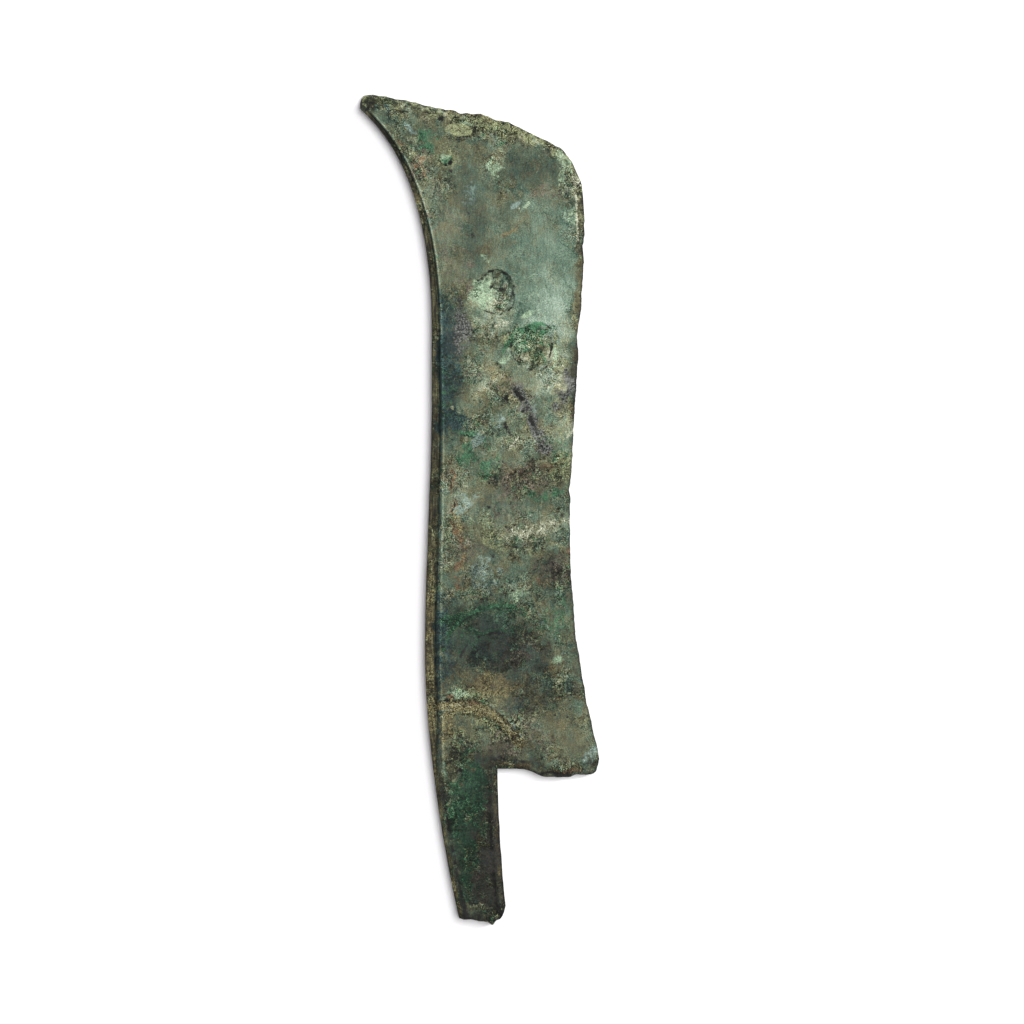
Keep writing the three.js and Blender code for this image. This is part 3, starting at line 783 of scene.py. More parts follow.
        "in the grey crust": (457, 330, 3.4, 9, 0.2, 6), "tip's black": (361, 104, 4.4, 2.6, 0.3, -10),
        "blister's speckle": (505, 292, 4, 6.4, 0.32),
        "pit beside the nodule": (449.5, 163, 0.7, 0.9, 1, 10),
        # below the flake and right of the flake: painted shade along the flake's lower and right sides
        "pit below the nodule": (451, 171, 0.7, 0.8, 0.9), "below the flake": (460, 137, 5, 0.6, 0.3, -3),
        "right of the flake": (473, 131, 0.5, 1.6, 0.3, -10),
        "furrow's dark": (531, 416, 12, 1.5, 0.35, -64), "blot": (506, 400, 1.8, 1.2, 1),
        "stroke": (508, 430, 3, 1.2, 0.8, -45), "dark dot": (491, 508, 1.1, 0.9, 1.1),
        "dark spot low": (454, 750, 2.6, 1.8, 0.6), "tang's dark green": (461, 776, 2.6, 4, 0.5),
        "tang's dark end": (486, 890, 6, 10, 0.05, -6),
    },
}

# Lines by layer: half width in millimetres, strength and path in pixels
strokes = {
    "umber": {
        "brown scratch": (0.6, 0.9, [(502, 236), (511, 232), (521, 228)]),
        "furrow's bed": (2.4, 0.6, [(517, 387), (524, 400), (531, 416), (539, 431), (546, 449)]),
    },
    "moss": {
        "green stroke": (0.9, 0.9, [(483, 541), (492, 547), (502, 556)]),
        "moss loop": (0.7, 0.8, [(511, 233), (515, 227), (519, 222)]),
    },
    "navy": {
        "deep teal by the flange": (1.1, 0.8, [(443, 300), (443.5, 340), (444, 420)]),
    },
    "emerald": {
        "burst's upper rim": (0.7, 0.8, [(511, 342), (516, 336), (526, 329), (537, 324), (545, 325)]),
        "burst's left glow": (1.3, 0.6, [(504, 352), (510, 341), (519, 331)]),
        "teal vein": (1, 0.8, [(452, 432), (468, 434), (480, 437), (488, 447)]),
        "dome's line": (0.7, 0.6, [(444, 650), (452, 630), (468, 615), (490, 607), (512, 606)]),
        "inner arc": (0.7, 0.5, [(458, 655), (468, 640), (486, 632), (504, 631)]),
    },
    "mint": {
        "burst's halo": (0.9, 0.9, [(555, 350), (556, 360), (552, 368), (543, 373)]),
    },
    "tan": {
        "notch's rim": (0.5, 0.9, [(529, 766), (510, 764), (495, 763)]),
        "seam's tan": (1.8, 0.5, [(454, 515), (462, 533), (466, 548), (461, 566), (457, 590)]),
    },
    "rust": {
        "seam": (0.8, 0.5, [(452, 455), (449.5, 467), (455, 476), (449.5, 491), (456, 504), (449.5, 511),
            (455, 534)]),
        "seam's knee": (1.1, 0.5, [(457, 533), (465, 547), (462, 560), (455, 571), (458, 586)]),
    },
    "slate": {
        "pale arc": (0.5, 0.45, [(528, 603), (538, 613), (547, 627), (556, 640)]),
    },
    "cream": {
        # A white painted highlight along the inner border of the bevel
        "bevel's painted highlight": (0.3, 1.1, [(565, 187), (572, 190), (576, 198), (577, 217), (578.5, 240)]),
        "cream wing": (2, 0.35, [(506, 517), (514, 530), (524, 536), (540, 530), (555, 522), (569, 519)]),
        "green's pale ridge": (0.5, 0.25, [(481, 452), (496, 461), (514, 473)]),
        "scratch": (0.5, 0.8, [(519, 209), (526, 206), (532, 203)]),
    },
    "ash": {
        "furrow's ash": (2.4, 1.25, [(517, 388), (524, 402), (531, 418), (538, 433), (545, 448)]),
    },
    "black": {
        # Painted shade in the groove above the tang's rim by the notch
        "shade in the notch's groove": (0.8, 0.55, [(524, 762), (508, 758), (491, 757)]),
        # The rims of the blister and the burst are dark lines of painted shade, where their walls turn from
        # the light
        "blister's rim shade": (0.42, 0.8, [(478, 281), (485, 276), (490, 271), (497, 270), (504, 273), (511, 278),
            (514, 285), (513, 292), (514.5, 299), (512, 307), (506, 312), (498, 315), (489, 312),
            (480, 309)]),
        "burst's rim shade": (0.4, 0.75, [(511, 344), (510.5, 351), (514, 358), (521, 364), (528, 368), (535, 371),
            (542, 370), (548, 365), (549, 358), (552, 345), (551.5, 331), (546, 325)]),
        "heel corner's line": (0.5, 0.5, [(575, 722), (583, 734), (590, 747), (596, 757)]),
        "outer arc's shade": (0.5, 0.4, [(452, 628), (466, 610), (484, 601), (506, 598), (526, 602)]),
        "third arc's shade": (0.4, 0.5, [(470, 660), (480, 648), (496, 642), (514, 644), (526, 652)]),
        # Painted shade along the lower side of the handle's raised trace
        "shade below the trace's ridge": (0.5, 0.45, [(441, 712), (456, 711), (471, 712), (484, 717), (497, 725),
            (508, 736)]),
        "teal vein's shade": (0.6, 0.6, [(453, 434), (468, 436), (479, 439), (487, 448)]),
        "green's ridge": (0.5, 0.5, [(481, 449), (497, 458), (516, 471)]),
        "green stroke's shade": (0.7, 0.6, [(479, 544), (486, 551), (494, 557)]),
        "vein below the flake": (0.5, 0.4, [(446, 139), (462, 140), (478, 137), (497, 142)]),
        "vein at the tip": (0.8, 0.6, [(406, 106), (424, 110), (438, 117), (447, 123)]),
        "vein in the crest": (0.6, 0.12, [(484, 127), (500, 131), (518, 137), (540, 149)]),
        "charcoal stripe": (1.4, 0.3, [(466, 205), (471, 225), (473, 245)]),
        "furrow's shade": (1, 0.75, [(515, 388), (522, 401), (529, 417), (537, 433), (542, 446)]),
        "dome's shade": (0.5, 0.5, [(446, 652), (454, 632), (469, 617), (490, 609), (512, 608)]),
        "inner arc's shade": (0.5, 0.7, [(460, 657), (470, 642), (487, 634), (504, 633)]),
        "blister's crack": (0.4, 0.5, [(492, 272), (494, 283), (490, 291), (497, 301)]),
        "blister's side crack": (0.35, 0.4, [(483, 279), (489, 286), (503, 290)]),
        "dark seam": (0.45, 0.6, [(453, 466), (451, 492), (455, 505), (450, 513)]),
    },
}


# The grey streak in the handle's trace, in pixels
traceStreak = [(490, 704), (502, 713), (513, 725), (522, 738)]

# Strengths of the stains that follow the outline and the relief. Some paint light and shade: part of the
# flange's shade, the shade on the step and at its foot, the highlight on the arris and on the tang's rims,
# the shade in the tang's groove by the back and along its end, the bevel's highlight and the shade along the
# outline.
bands = {
    "flangeShade": 0.3, "lowFlangeLight": 0.2, "flangeGrain": 0.25, "flangeOlive": 1.3, "flangeTan": 0.1,
    "lowFlangeTan": 0.55, "stepFootShade": 0.42, "stepNavy": 0.6, "stepShade": 0.12, "arrisHighlight": 0.4,
    "upperArrisHighlight": 0.1, "arrisHighlightSlate": 0.2, "traceTan": 1.0, "traceCream": 0.4, "traceSlate": 0.45,
    "crackBlack": 0.7, "pitBlack": 0.75, "backGrooveShade": 0.85, "notchGroove": 0.75, "backRim": 0.75,
    "notchRim": 0.6, "rimHighlight": 0.14, "notchShade": 0.25, "tangEndShade": 0.6, "bevelShade": 0.2,
    "bevelOlive": 0.8, "bevelHighlightCream": 0.8, "floorLight": 0.1, "floorGrain": 0.45, "flakeMoss": 0.7,
    "flakeRim": 0.2, "flakeLight": 0.05, "crestLight": 0.14, "crestGrain": 0.7, "crestMoss": 0.3,
    "crestMossGrain": 0.5, "crestEmerald": -0.3, "crestBlack": 0.32, "lowShade": 0.04, "outlineShade": 0.3,
}


# Reach in a turned ellipse after the point is moved by the two warp clouds, less so in a small ellipse
def warpedReach(at, half, turn):
    share = min(1.0, 0.35 * min(half))
    centreX, centreY = onBlade(at)
    return turnedReach(x - centreX + share * warpX, y - centreY + share * warpY, half, turn)


# Painted shade round a lump, stronger on its lower right side, which the light leaves
def lumpShadeOutline(scar):
    centreX, centreY = onBlade(scar["at"])
    size = max(scar["half"])
    lowRight = smooth(x - centreX - y + centreY, -size, size)
    return bump(lumpReach(scar), 1.1, 0.35 / min(scar["half"])) * (0.25 + 0.75 * lowRight)


# One at a path's middle, fading to either side as a bell
def alongPath(path, width):
    return np.exp(-pathReach(path, width) ** 2)


# Adds up each layer at every point: the patches, the lines, and what follows the outline and the relief
def stainLayers():
    layers = {name: np.zeros_like(x) for name in stains}
    for layer, patches in stains.items():
        inner, outer = (0.25, 1.35) if layer in ("tone", "hue") else (0.35, 1.45)
        for at, half, strength, turn in map(fieldParts, patches.values()):
            layers[layer] += strength * (1 - smooth(warpedReach(at, half, turn), inner, outer))
    broken = 1 + 1.2 * layered(x, y, 2.4, 83, 3)
    for layer, paths in strokes.items():
        for width, strength, path in paths.values():
            layers[layer] += strength * alongPath(path, width) * broken

    # The flange and the step beside it. The flange is darker partly for its brown and partly as painted shade
    # of its outer side; the step, which faces away from the light, gets painted shade, darkest at its foot,
    # and the arris at its top a painted highlight.
    onFlange = 1 - smooth(toBack, flange - 0.4, flange + 0.2)
    lowBack = 1 - smooth(y, 45, 120)
    onTang = 1 - smooth(y, -16, 10)
    drawn = layered(x * 2, y * 0.25, 1.6, 95, 3)
    flangeTone = bands["flangeShade"] - bands["lowFlangeLight"] * lowBack - bands["flangeGrain"] * drawn
    layers["tone"] -= onFlange * flangeTone
    layers["hue"] -= bands["flangeOlive"] * onFlange
    flangeTan = bands["flangeTan"] + bands["lowFlangeTan"] * lowBack
    layers["tan"] += onFlange * flangeTan * (1 - 0.8 * onTang)
    stepEnd = flange + step
    onStep = smooth(toBack, flange - 0.3, flange + 0.2) * (1 - smooth(toBack, flange + 0.7 * step, stepEnd))
    # Painted shade at the step's foot, which faces away from the light
    stepFoot = bump(toBack, flange + 0.15 * step, 0.25 + 0.25 * step)
    layers["black"] += bands["stepFootShade"] * stepFoot * (1 - onTang)
    layers["navy"] += bands["stepNavy"] * onStep * (1 - onTang)
    layers["tone"] -= bands["stepShade"] * onStep * (1 - onTang)
    # Painted highlight along the arris at the step's top, partly in slate
    arris = bump(toBack, stepEnd + 0.15, 0.26) * (1 - onTang)
    layers["tone"] += (bands["arrisHighlight"] + bands["upperArrisHighlight"] * smooth(y, 150, 210)) * arris
    layers["slate"] += bands["arrisHighlightSlate"] * arris

    # The handle's trace and crack, and the pits
    trace = lineScars["handleTrace"]["path"]
    layers["tan"] += bands["traceTan"] * alongPath(trace, 1.9)
    layers["cream"] += bands["traceCream"] * alongPath(trace, 0.8)
    layers["slate"] += bands["traceSlate"] * alongPath(traceStreak, 0.8)
    layers["black"] += bands["crackBlack"] * alongPath(lineScars["handleCrack"]["path"], 0.5)
    layers["black"] += bands["pitBlack"] * smooth(pits, 0.15, 0.6) * (1 - 0.9 * calm)

    # The tang's rims, with a painted highlight on them, the dark grooves inside them, the one by the back
    # also painted shade of the slope that faces away from the light, and its dark end, painted shade along
    # its edge
    grooves = bands["backGrooveShade"] * bump(toBack, 2.9, 1.0) + bands["notchGroove"] * bump(toNotch, 3.3, 0.9)
    layers["black"] += onTang * grooves
    rims = bands["backRim"] * bump(toBack, 1.0, 0.5) + bands["notchRim"] * bump(toNotch, 1.1, 0.6)
    layers["tan"] += onTang * rims * (1 + 1.2 * layered(x, y, 2.4, 85, 3))
    # Painted shade along the tang's end
    layers["black"] += bands["tangEndShade"] * (1 - smooth(y, -2, 1)) * bump(toEnd, 1.0, 1.6)
    # Painted highlight on the rims
    layers["tone"] += onTang * (bands["rimHighlight"] * rims - bands["notchShade"] * bump(toNotch, 3.2, 1.2))

    # The bevel at the shoulder, and the white painted highlight along its inner border
    bevel = (1 - smooth(toEdge, 2.2, 3.0)) * smooth(y, 165, 180) * (1 - smooth(y, 218, 228))
    layers["tone"] -= bands["bevelShade"] * bevel
    layers["hue"] -= bands["bevelOlive"] * bevel
    bevelHighlightLine = bump(toEdge, 2.8, 0.4) * smooth(y, 196, 206) * (1 - smooth(y, 222, 228))
    layers["cream"] += bands["bevelHighlightCream"] * bevelHighlightLine

    # The hollows' floors, the painted shade round their rims, and the painted shade along the lumps' lower
    # sides
    layers["tone"] += floors * (bands["floorLight"] + bands["floorGrain"] * layered(x, y, 1.5, 97, 3))
    uneven = 1 + 0.7 * layered(x, y, 3, 63, 3)
    for scar in hollowScars.values():
        layers["black"] += scar["dark"] * bump(hollowReach(scar), 0.98, 0.07) * uneven
    for scar in lumpScars.values():
        layers["black"] += scar["dark"] * lumpShadeOutline(scar)
    layers["moss"] += bands["flakeMoss"] * onFlake
    flakeRim = bump(lumpReach(lumpScars["flake"]), 0.92, 0.1)
    layers["tone"] += bands["flakeRim"] * flakeRim + bands["flakeLight"] * onFlake

    # The crest, the lower blade, and painted shade along the outline, where the sides slope away out of the
    # light
    nearCrest = 1 - smooth(toCrest, 2, 6)
    layers["tone"] += nearCrest * (bands["crestLight"] + bands["crestGrain"] * layered(x, y, 1.3, 99, 3))
    layers["moss"] += nearCrest * (bands["crestMoss"] + bands["crestMossGrain"] * layered(x, y, 3, 98, 3))
    layers["emerald"] += bands["crestEmerald"] * (1 - smooth(toCrest, 4, 9))
    layers["black"] += bands["crestBlack"] * bump(toCrest + 1.5 * layered(x, y, 4, 96, 3), 4.6, 0.5)
    layers["tone"] -= bands["lowShade"] * (1 - smooth(y, 60, 90))
    # Painted shade on the sides seen at the outline
    outline = np.minimum.reduce([toBack, toEdge, toHeel + 10 * (y > 3), toNotch, toEnd])
    layers["tone"] -= bands["outlineShade"] * np.exp(-(outline / 0.5) ** 2)
    return layers


print("machete: laying the stains")
warpX = 3.3 * layered(x, y, 5, 101, 4)
warpY = 3.3 * layered(x, y, 5, 111, 4)
layers = stainLayers()
layers["height"] = relief
layers["calm"] = calm - crusty
layers["fromBack"] = toBack * metre
layers["flange"] = 1 - smooth(toBack, flange - 0.2, flange + 0.5 * step)

# Mesh

cadLow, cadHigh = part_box("machete")
shiftX = cadLow.x / metre - crest[:, 0].min()
shiftY = cadHigh.y / metre - crest[:, 1].max()


# The upper side has a point for every place of the grid, and the underside for every second row and column
def buildMachete():
    index = np.full(onGrid.shape, -1)
    index[onGrid] = np.arange(x.size)
    underIndex = np.full(onGrid.shape, -1)
    coarse = np.zeros(onGrid.shape, bool)
    coarse[::2, ::2] = onGrid[::2, ::2]
    underIndex[coarse] = x.size + np.arange(coarse.sum())
    underPoint = index[coarse]
    top = np.stack([x + shiftX, y + shiftY, upper], -1)
    under = np.stack([x + shiftX, y + shiftY, lower], -1)[underPoint]

    def quads(grid):
        q = np.stack([grid[:-1, :-1], grid[:-1, 1:], grid[1:, 1:], grid[1:, :-1]], -1).reshape(-1, 4)
        return q[(q >= 0).all(1)]

    # The border is walked counter-clockwise, seen from above, and joined to every second point below it
    lastRow = len(height) - 1
    lastColumn = onGrid.shape[1] - 1
    tangRows = mesh["tangRows"]
    c = np.arange
    legs = [
        (c(0, lastTangColumn), 0 * c(0, lastTangColumn)),
        (0 * c(tangRows) + lastTangColumn, c(tangRows)),
        (c(lastTangColumn, lastColumn), 0 * c(lastTangColumn, lastColumn) + tangRows),
        (0 * c(tangRows, lastRow) + lastColumn, c(tangRows, lastRow)),
        (c(lastColumn, 0, -1), 0 * c(lastColumn, 0, -1) + lastRow),
        (0 * c(lastRow, 0, -1), c(lastRow, 0, -1)),
    ]
    columns = np.concatenate([leg[0] for leg in legs])
    rows = np.concatenate([leg[1] for leg in legs])
    border = index[rows, columns]
    underBorder = underIndex[rows[::2], columns[::2]]
    a = border[::2]
    b = border[1::2]
    d = underBorder
    e = np.roll(underBorder, -1)
    f = np.roll(a, -1)
    rim = np.concatenate([np.stack(corners, -1) for corners in ((a, d, b), (b, d, e), (b, e, f))])
    underQuads = quads(underIndex[::2, ::2])[:, ::-1]
    faces = quads(index).tolist() + underQuads.tolist() + rim.tolist()
    data = bpy.data.meshes.new("machete_patinated")
    data.from_pydata((np.vstack([top, under]) * metre).tolist(), [], faces)
    data.validate()
    data.shade_smooth()
    data.set_sharp_from_angle(angle=math.radians(50))
    piece = bpy.data.objects.new("machete_patinated", data)
    bpy.context.scene.collection.objects.link(piece)
    triangles = sum(len(face.vertices) - 2 for face in data.polygons)
    print("machete:", len(data.vertices), "points,", triangles, "triangles")
    return piece, underPoint


print("machete: making the mesh")
machete, underPoint = buildMachete()

# Material

# Carries the layers on the mesh. The underside repeats tone and hue in full and the rest at half strength.
def storeLayers(piece):
    for name, values in layers.items():
        attribute = piece.data.attributes.new(name, "FLOAT", "POINT")
        share = 1.0 if name in ("tone", "hue", "fromBack") else 0.5
        below = values[underPoint] * share
        attribute.data.foreach_set("value", np.concatenate([values, below]).astype(np.float32))


# Linear colour from the usual shades of 0 to 255
def colour(red, green, blue):
    linear = [((c / 255 + 0.055) / 1.055) ** 2.4 if c > 10 else c / 255 / 12.92 for c in (red, green, blue)]
    return (*linear, 1.0)


# A value in the node tree that can be added, multiplied and so on like a number
class Value:
    def __init__(self, surface, socket):
        self.surface = surface
        self.socket = socket

    def joined(self, operation, first, second):
        return self.surface.node("ShaderNodeMath", {"operation": operation}, {0: first, 1: second})

    def __add__(self, other):
        return self.joined("ADD", self, other)

    def __radd__(self, other):
        return self.joined("ADD", other, self)

    def __sub__(self, other):
        return self.joined("SUBTRACT", self, other)

    def __rsub__(self, other):
        return self.joined("SUBTRACT", other, self)

    def __mul__(self, other):
        return self.joined("MULTIPLY", self, other)

    def __rmul__(self, other):
        return self.joined("MULTIPLY", other, self)


class Surface:
    def __init__(self, name):
        self.material = bpy.data.materials.new(name)
        self.material.use_nodes = True
        self.tree = self.material.node_tree
        self.shader = self.tree.nodes["Principled BSDF"]
        self.place = self.node("ShaderNodeTexCoord", {}, {}, "Object")

    # Makes a node, sets its settings, then its sockets, and gives back one of its outputs
    def node(self, kind, settings, sockets, output=0):
        made = self.tree.nodes.new(kind)
        for key, setting in settings.items():
            if key == "stops":
                while len(made.color_ramp.elements) < len(setting):
                    made.color_ramp.elements.new(0.5)
                for element, (position, shade) in zip(made.color_ramp.elements, setting):
                    element.position = position
                    element.color = shade
            else:
                setattr(made, key, setting)
        for key, value in sockets.items():
            self.feed(made.inputs[key], value)
        return Value(self, made.outputs[output])

    def feed(self, socket, value):
        if isinstance(value, Value):
            self.tree.links.new(value.socket, socket)
        else:
            socket.default_value = value

    def layer(self, name):
        return self.node("ShaderNodeAttribute", {"attribute_name": name}, {}, "Fac")

    def moved(self, place, seed):
        return self.node("ShaderNodeVectorMath", {"operation": "ADD"}, {0: place, 1: (seed, seed, 0)})

    # Noise spread to about -1..1
    def noise(self, scale, detail, roughness=0.6, place=None, seed=0.0):
        sockets = {"Vector": self.moved(place or self.place, seed), "Scale": scale, "Detail": detail,
                   "Roughness": roughness}
        return self.node("ShaderNodeTexNoise", {}, sockets) * 6.0 - 3.0

    # Round dots at random places: 1 inside and 0 outside, sized as a share of their spacing
    def dots(self, scale, size, seed):
        sockets = {"Vector": self.moved(self.place, seed), "Scale": scale}
        away = self.node("ShaderNodeTexVoronoi", {}, sockets, "Distance")
        return 1.0 - self.step(away, 0.6 * size, 1.2 * size)

    # Thin line where a noise changes its sign
    def contour(self, value, width):
        return 1.0 - self.step(value * value, 0.0, width * width)

    def ramp(self, value, stops):
        return self.node("ShaderNodeValToRGB", {"stops": stops}, {0: value})

    def step(self, value, low, high):
        return self.node("ShaderNodeMapRange", {"interpolation_type": "SMOOTHSTEP"},
                         {"Value": value, "From Min": low, "From Max": high})

    def blend(self, first, second, factor):
        return self.node("ShaderNodeMix", {"data_type": "RGBA"}, {0: factor, 6: first, 7: second}, 2)


patina = {
    "shade": 0.82,
    "level": 0.555,
    "hue": 0.47,
    "glitter": 0.58,
    "calming": 0.8,
    "specular": 0.35,
    "bumpStrength": 0.8,
    "bumpDistance": 0.14 * metre,
    # how much each kind of grain lightens the rough parts, and how much it raises them
    "grains": {
        "grain": (0.08, 0.5), "clump": (0.1, 0.8), "streak": (0.05, 0.0), "pale": (0.12, 0.9),
        "dark": (-0.13, -0.5), "specks": (0.14, 0.5), "creases": (-0.11, -0.6), "crumbs": (0.11, 0.6),
        "pits": (-0.3, -1.2), "flecks": (0.2, 0.8), "veins": (-0.22, -0.8), "ridges": (0.17, 0.7),
    },
    # dark to light
    "olive": [(0.0, colour(26, 25, 15)), (0.25, colour(58, 55, 36)), (0.5, colour(95, 93, 64)),
              (0.75, colour(133, 134, 100)), (1.0, colour(192, 192, 156))],
    "teal": [(0.0, colour(15, 26, 22)), (0.25, colour(35, 56, 48)), (0.5, colour(68, 96, 80)),
             (0.75, colour(112, 137, 116)), (1.0, colour(170, 192, 172))],
    # Besides their own colours, black also renders painted shade, and slate and cream painted highlights
    # dark and light colour, how much lies scattered over the rough parts, scale of its patches, its speckle
    "deposits": {
        "umber": (colour(44, 41, 34), colour(138, 131, 111), 0.26, 330, 0.1),
        "moss": (colour(40, 48, 28), colour(166, 174, 128), 0.28, 380, 0.12),
        "navy": (colour(15, 36, 36), colour(74, 106, 102), 0.0, 500, 0.16),
        "emerald": (colour(18, 48, 31), colour(86, 142, 102), 0.25, 420, 0.12),
        "tan": (colour(64, 57, 36), colour(158, 151, 106), 0.14, 520, 0.15),
        "slate": (colour(74, 96, 88), colour(160, 184, 170), 0.08, 460, 0.1),
        "mint": (colour(80, 106, 78), colour(184, 210, 174), 0.1, 560, 0.16),
        "cream": (colour(112, 118, 88), colour(214, 218, 188), 0.02, 700, 0.15),
        "rust": (colour(64, 49, 35), colour(150, 126, 92), 0.08, 640, 0.12),
        "ash": (colour(26, 31, 28), colour(136, 140, 133), 0.0, 620, 0.5),
        "black": (colour(17, 19, 16), colour(34, 37, 32), 0.06, 800, 0.05),
    },
}


# One level looks up a dark-to-light ramp of olive and one of teal, and the hue mixes them. The deposits are
# laid over that in turn, and a fine glitter scales it all. A noise has a scale, detail, roughness and seed.
def patinaSurface():
    s = Surface("patina")
    wander = s.node("ShaderNodeTexNoise", {}, {"Vector": s.place, "Scale": 260, "Detail": 5}, "Color")
    wander = s.node("ShaderNodeVectorMath", {"operation": "SCALE"}, {0: wander, "Scale": 0.009})
    warped = s.node("ShaderNodeVectorMath", {"operation": "ADD"}, {0: s.place, 1: wander})
    drawn = s.node("ShaderNodeMapping", {}, {"Vector": s.place, "Scale": (1, 0.2, 1)})
    flangeLines = s.node("ShaderNodeSeparateXYZ", {}, {0: s.place}, 1) * 0.07
    flangeLines = s.node("ShaderNodeCombineXYZ", {}, {0: s.layer("fromBack"), 1: flangeLines})
    harsh = 0.35 + 1.25 * s.step(s.noise(95, 3, 0.6, warped, 23.0), -0.6, 0.8)
    rough = (1.0 - patina["calming"] * s.layer("calm")) * harsh
    fine = s.noise(2700, 1, 0.5)
    speckle = s.noise(1600, 2, 0.7, seed=9.1)
    blotch = s.noise(140, 4, 0.6, warped, 7.3)
    lines = s.noise(2000, 3, 0.6, flangeLines, 2.3) * s.layer("flange")
    pitted = s.step(s.noise(120, 2, 0.5, seed=47.0), -0.1, 0.4)
    flecked = s.step(s.noise(130, 2, 0.5, seed=59.0), 0.1, 0.6)
    veined = s.step(s.noise(80, 2, 0.5, seed=67.0), -0.2, 0.5)
    ridged = s.step(s.noise(90, 2, 0.5, seed=73.0), 0.0, 0.6)
    grains = {
        "grain": s.noise(1250, 4, 0.75, seed=3.1),
        "clump": s.noise(420, 5, 0.7, warped, 5.7),
        "streak": s.noise(900, 4, 0.65, drawn, 1.7),
        "pale": s.step(s.noise(240, 6, 0.68, warped, 31.0), 0.2, 0.42),
        "dark": s.step(s.noise(230, 6, 0.68, warped, 37.0), 0.25, 0.48),
        "specks": s.step(s.noise(1500, 3, 0.7, seed=41.0), 0.75, 1.05),
        "pits": s.dots(430, 0.2, 43.0) * pitted,
        "flecks": s.dots(560, 0.2, 53.0) * flecked,
        "veins": s.contour(s.noise(150, 6, 0.62, warped, 61.0), 0.1) * veined,
        "ridges": s.contour(s.noise(210, 6, 0.62, warped, 71.0), 0.1) * ridged,
        "creases": s.contour(s.noise(520, 3, 0.6, warped, 79.0), 0.16),
        "crumbs": s.contour(s.noise(640, 3, 0.6, warped, 83.0), 0.16),
    }
    lighter = sum((weight * grains[name] for name, (weight, _) in patina["grains"].items()), 0.0)
    higher = sum((weight * grains[name] for name, (_, weight) in patina["grains"].items()), 0.0)
    level = patina["level"] + s.layer("tone") * 0.86 + lighter * rough * 1.25 + 0.08 * blotch
    level = level + 0.09 * s.noise(1500, 4, 0.7, drawn, 89.0) * (1.1 - rough)
    # Higher relief is lighter and lower relief darker: wear on the raised parts and painted shade in the
    # hollows
    level = level + 0.12 * s.layer("height") + 0.22 * lines
    drift = 0.28 * s.noise(330, 3, 0.55, warped, 11.9) + 0.3 * s.noise(120, 4, 0.6, warped, 13.3)
    hue = patina["hue"] + 0.4 * s.layer("hue") + drift * (0.5 + 0.55 * rough) + 0.1 * grains["streak"]
    shade = s.blend(s.ramp(level, patina["olive"]), s.ramp(level, patina["teal"]), s.step(hue, 0.0, 1.0))
    for number, (name, deposit) in enumerate(patina["deposits"].items()):
        deep, light, scattered, scale, speckled = deposit
        edge = s.noise(scale, 3, 0.7, warped, 50.0 + 3.7 * number) * 0.42 + 0.06 * speckle
        amount = s.step(s.layer(name) + scattered * rough + edge, 0.35, 0.95)
        tint = s.blend(deep, light, s.step(level + speckled * grains["grain"], 0.12, 0.95))
        shade = s.blend(shade, tint, amount)
    glitter = (1.0 + patina["glitter"] * fine * (0.4 + 0.85 * rough)) * patina["shade"]
    shade = s.node("ShaderNodeVectorMath", {"operation": "SCALE"}, {0: shade, "Scale": glitter})
    s.feed(s.shader.inputs["Base Color"], shade)
    s.feed(s.shader.inputs["Roughness"], s.step(grains["grain"], -1.0, 1.0) * 0.25 + 0.5)
    s.shader.inputs["Specular IOR Level"].default_value = patina["specular"]
    sockets = {"Strength": patina["bumpStrength"], "Distance": patina["bumpDistance"],
               "Height": higher * rough + 0.3 * fine + 1.2 * lines}
    s.feed(s.shader.inputs["Normal"], s.node("ShaderNodeBump", {}, sockets))
    return s.material


print("machete: painting the patina")
storeLayers(machete)
machete.data.materials.append(patinaSurface())
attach(machete, "root")
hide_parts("machete")


# Stage, light and camera

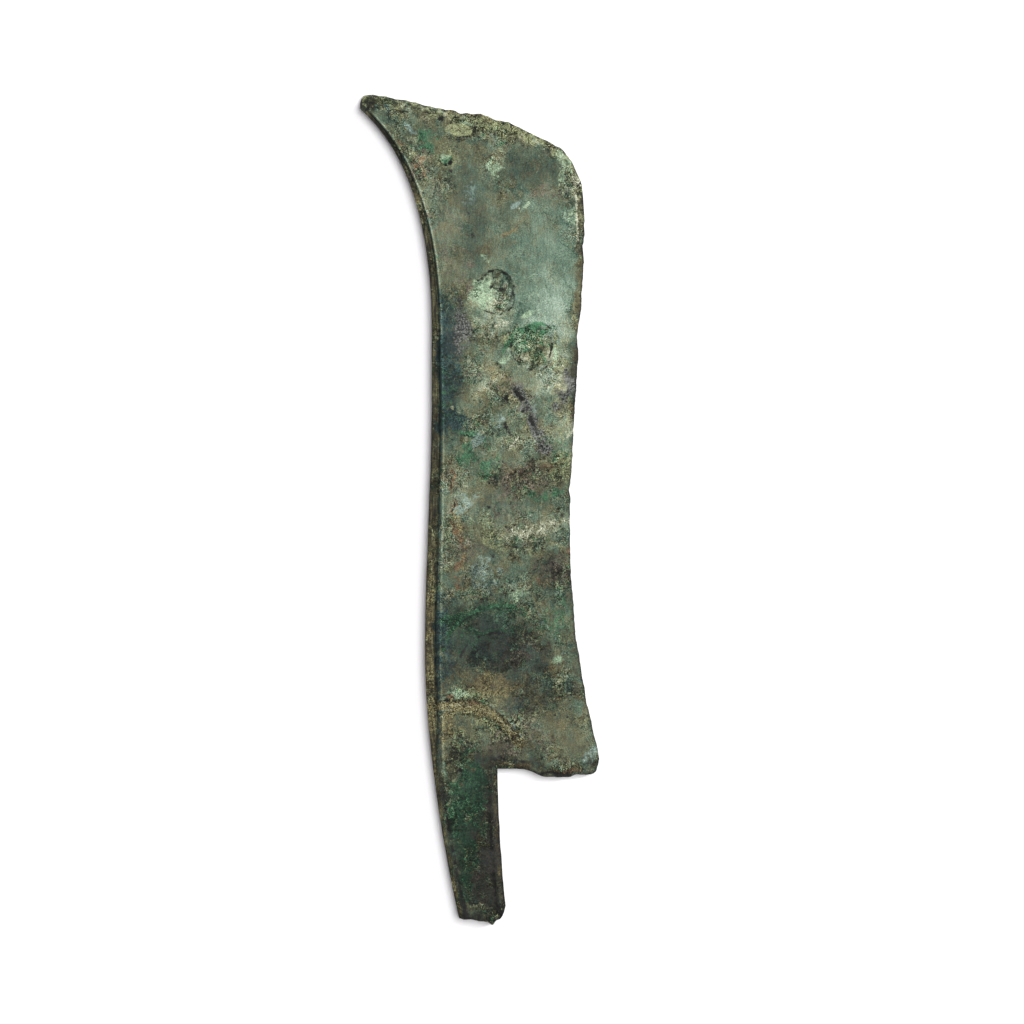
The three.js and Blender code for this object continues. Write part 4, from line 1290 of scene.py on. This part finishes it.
# The soft key makes the short shadow, and the raking light brings out the relief. Together they take the
# floor past white, so that only the heart of the shadow shows.
stage = {
    "floorHalf": 4.0,
    "floorShade": 0.92,
    # from straight overhead, from the right towards the tip, apparent size (degrees), strength
    "suns": {"soft key": (17, 24, 46, 3.1), "raking": (52, 24, 10, 1.3)},
    "roomColour": (1.0, 0.9, 1.0, 1.0),
    "roomStrength": 0.18,
    "lens": 135,
    "sensorWidth": 36,
    "viewEnd": 20,
}


def makeFloor():
    half = stage["floorHalf"]
    data = bpy.data.meshes.new("floor")
    corners = [(-half, -half, 0), (half, -half, 0), (half, half, 0), (-half, half, 0)]
    data.from_pydata(corners, [], [(0, 1, 2, 3)])
    material = bpy.data.materials.new("white floor")
    material.use_nodes = True
    floorShader = material.node_tree.nodes["Principled BSDF"]
    floorShader.inputs["Base Color"].default_value = (stage["floorShade"],) * 3 + (1,)
    floorShader.inputs["Roughness"].default_value = 0.9
    data.materials.append(material)
    floor = bpy.data.objects.new("floor", data)
    bpy.context.scene.collection.objects.link(floor)


def makeLights():
    for name, (angle, turn, spread, strength) in stage["suns"].items():
        data = bpy.data.lights.new(name, "SUN")
        data.angle = math.radians(spread)
        data.energy = strength
        sun = bpy.data.objects.new(name, data)
        sun.rotation_euler = (0, math.radians(angle), math.radians(turn))
        bpy.context.scene.collection.objects.link(sun)
    world = bpy.data.worlds.new("room")
    world.use_nodes = True
    background = world.node_tree.nodes["Background"]
    background.inputs["Color"].default_value = stage["roomColour"]
    background.inputs["Strength"].default_value = stage["roomStrength"]
    bpy.context.scene.world = world


# The camera looks straight down, from where its frame is as wide as the photograph's
def makeCamera():
    data = bpy.data.cameras.new("camera")
    data.lens = stage["lens"]
    data.sensor_width = stage["sensorWidth"]
    data.clip_end = stage["viewEnd"]
    camera = bpy.data.objects.new("camera", data)
    scale = photo["millimetresPerPixel"]
    middle = photo["framePixels"] / 2
    centreX = (middle - photo["backPixel"]) * scale + shiftX
    centreY = (photo["notchPixel"] - middle) * scale + shiftY
    frameWidth = photo["framePixels"] * scale * metre
    distance = frameWidth * data.lens / data.sensor_width
    camera.location = (centreX * metre, centreY * metre, distance + plan["bodyThickness"] / 2 * metre)
    bpy.context.scene.collection.objects.link(camera)
    bpy.context.scene.camera = camera


makeFloor()
makeLights()
makeCamera()
bpy.context.scene.view_settings.view_transform = "Standard"
bpy.context.scene.view_settings.look = "None"
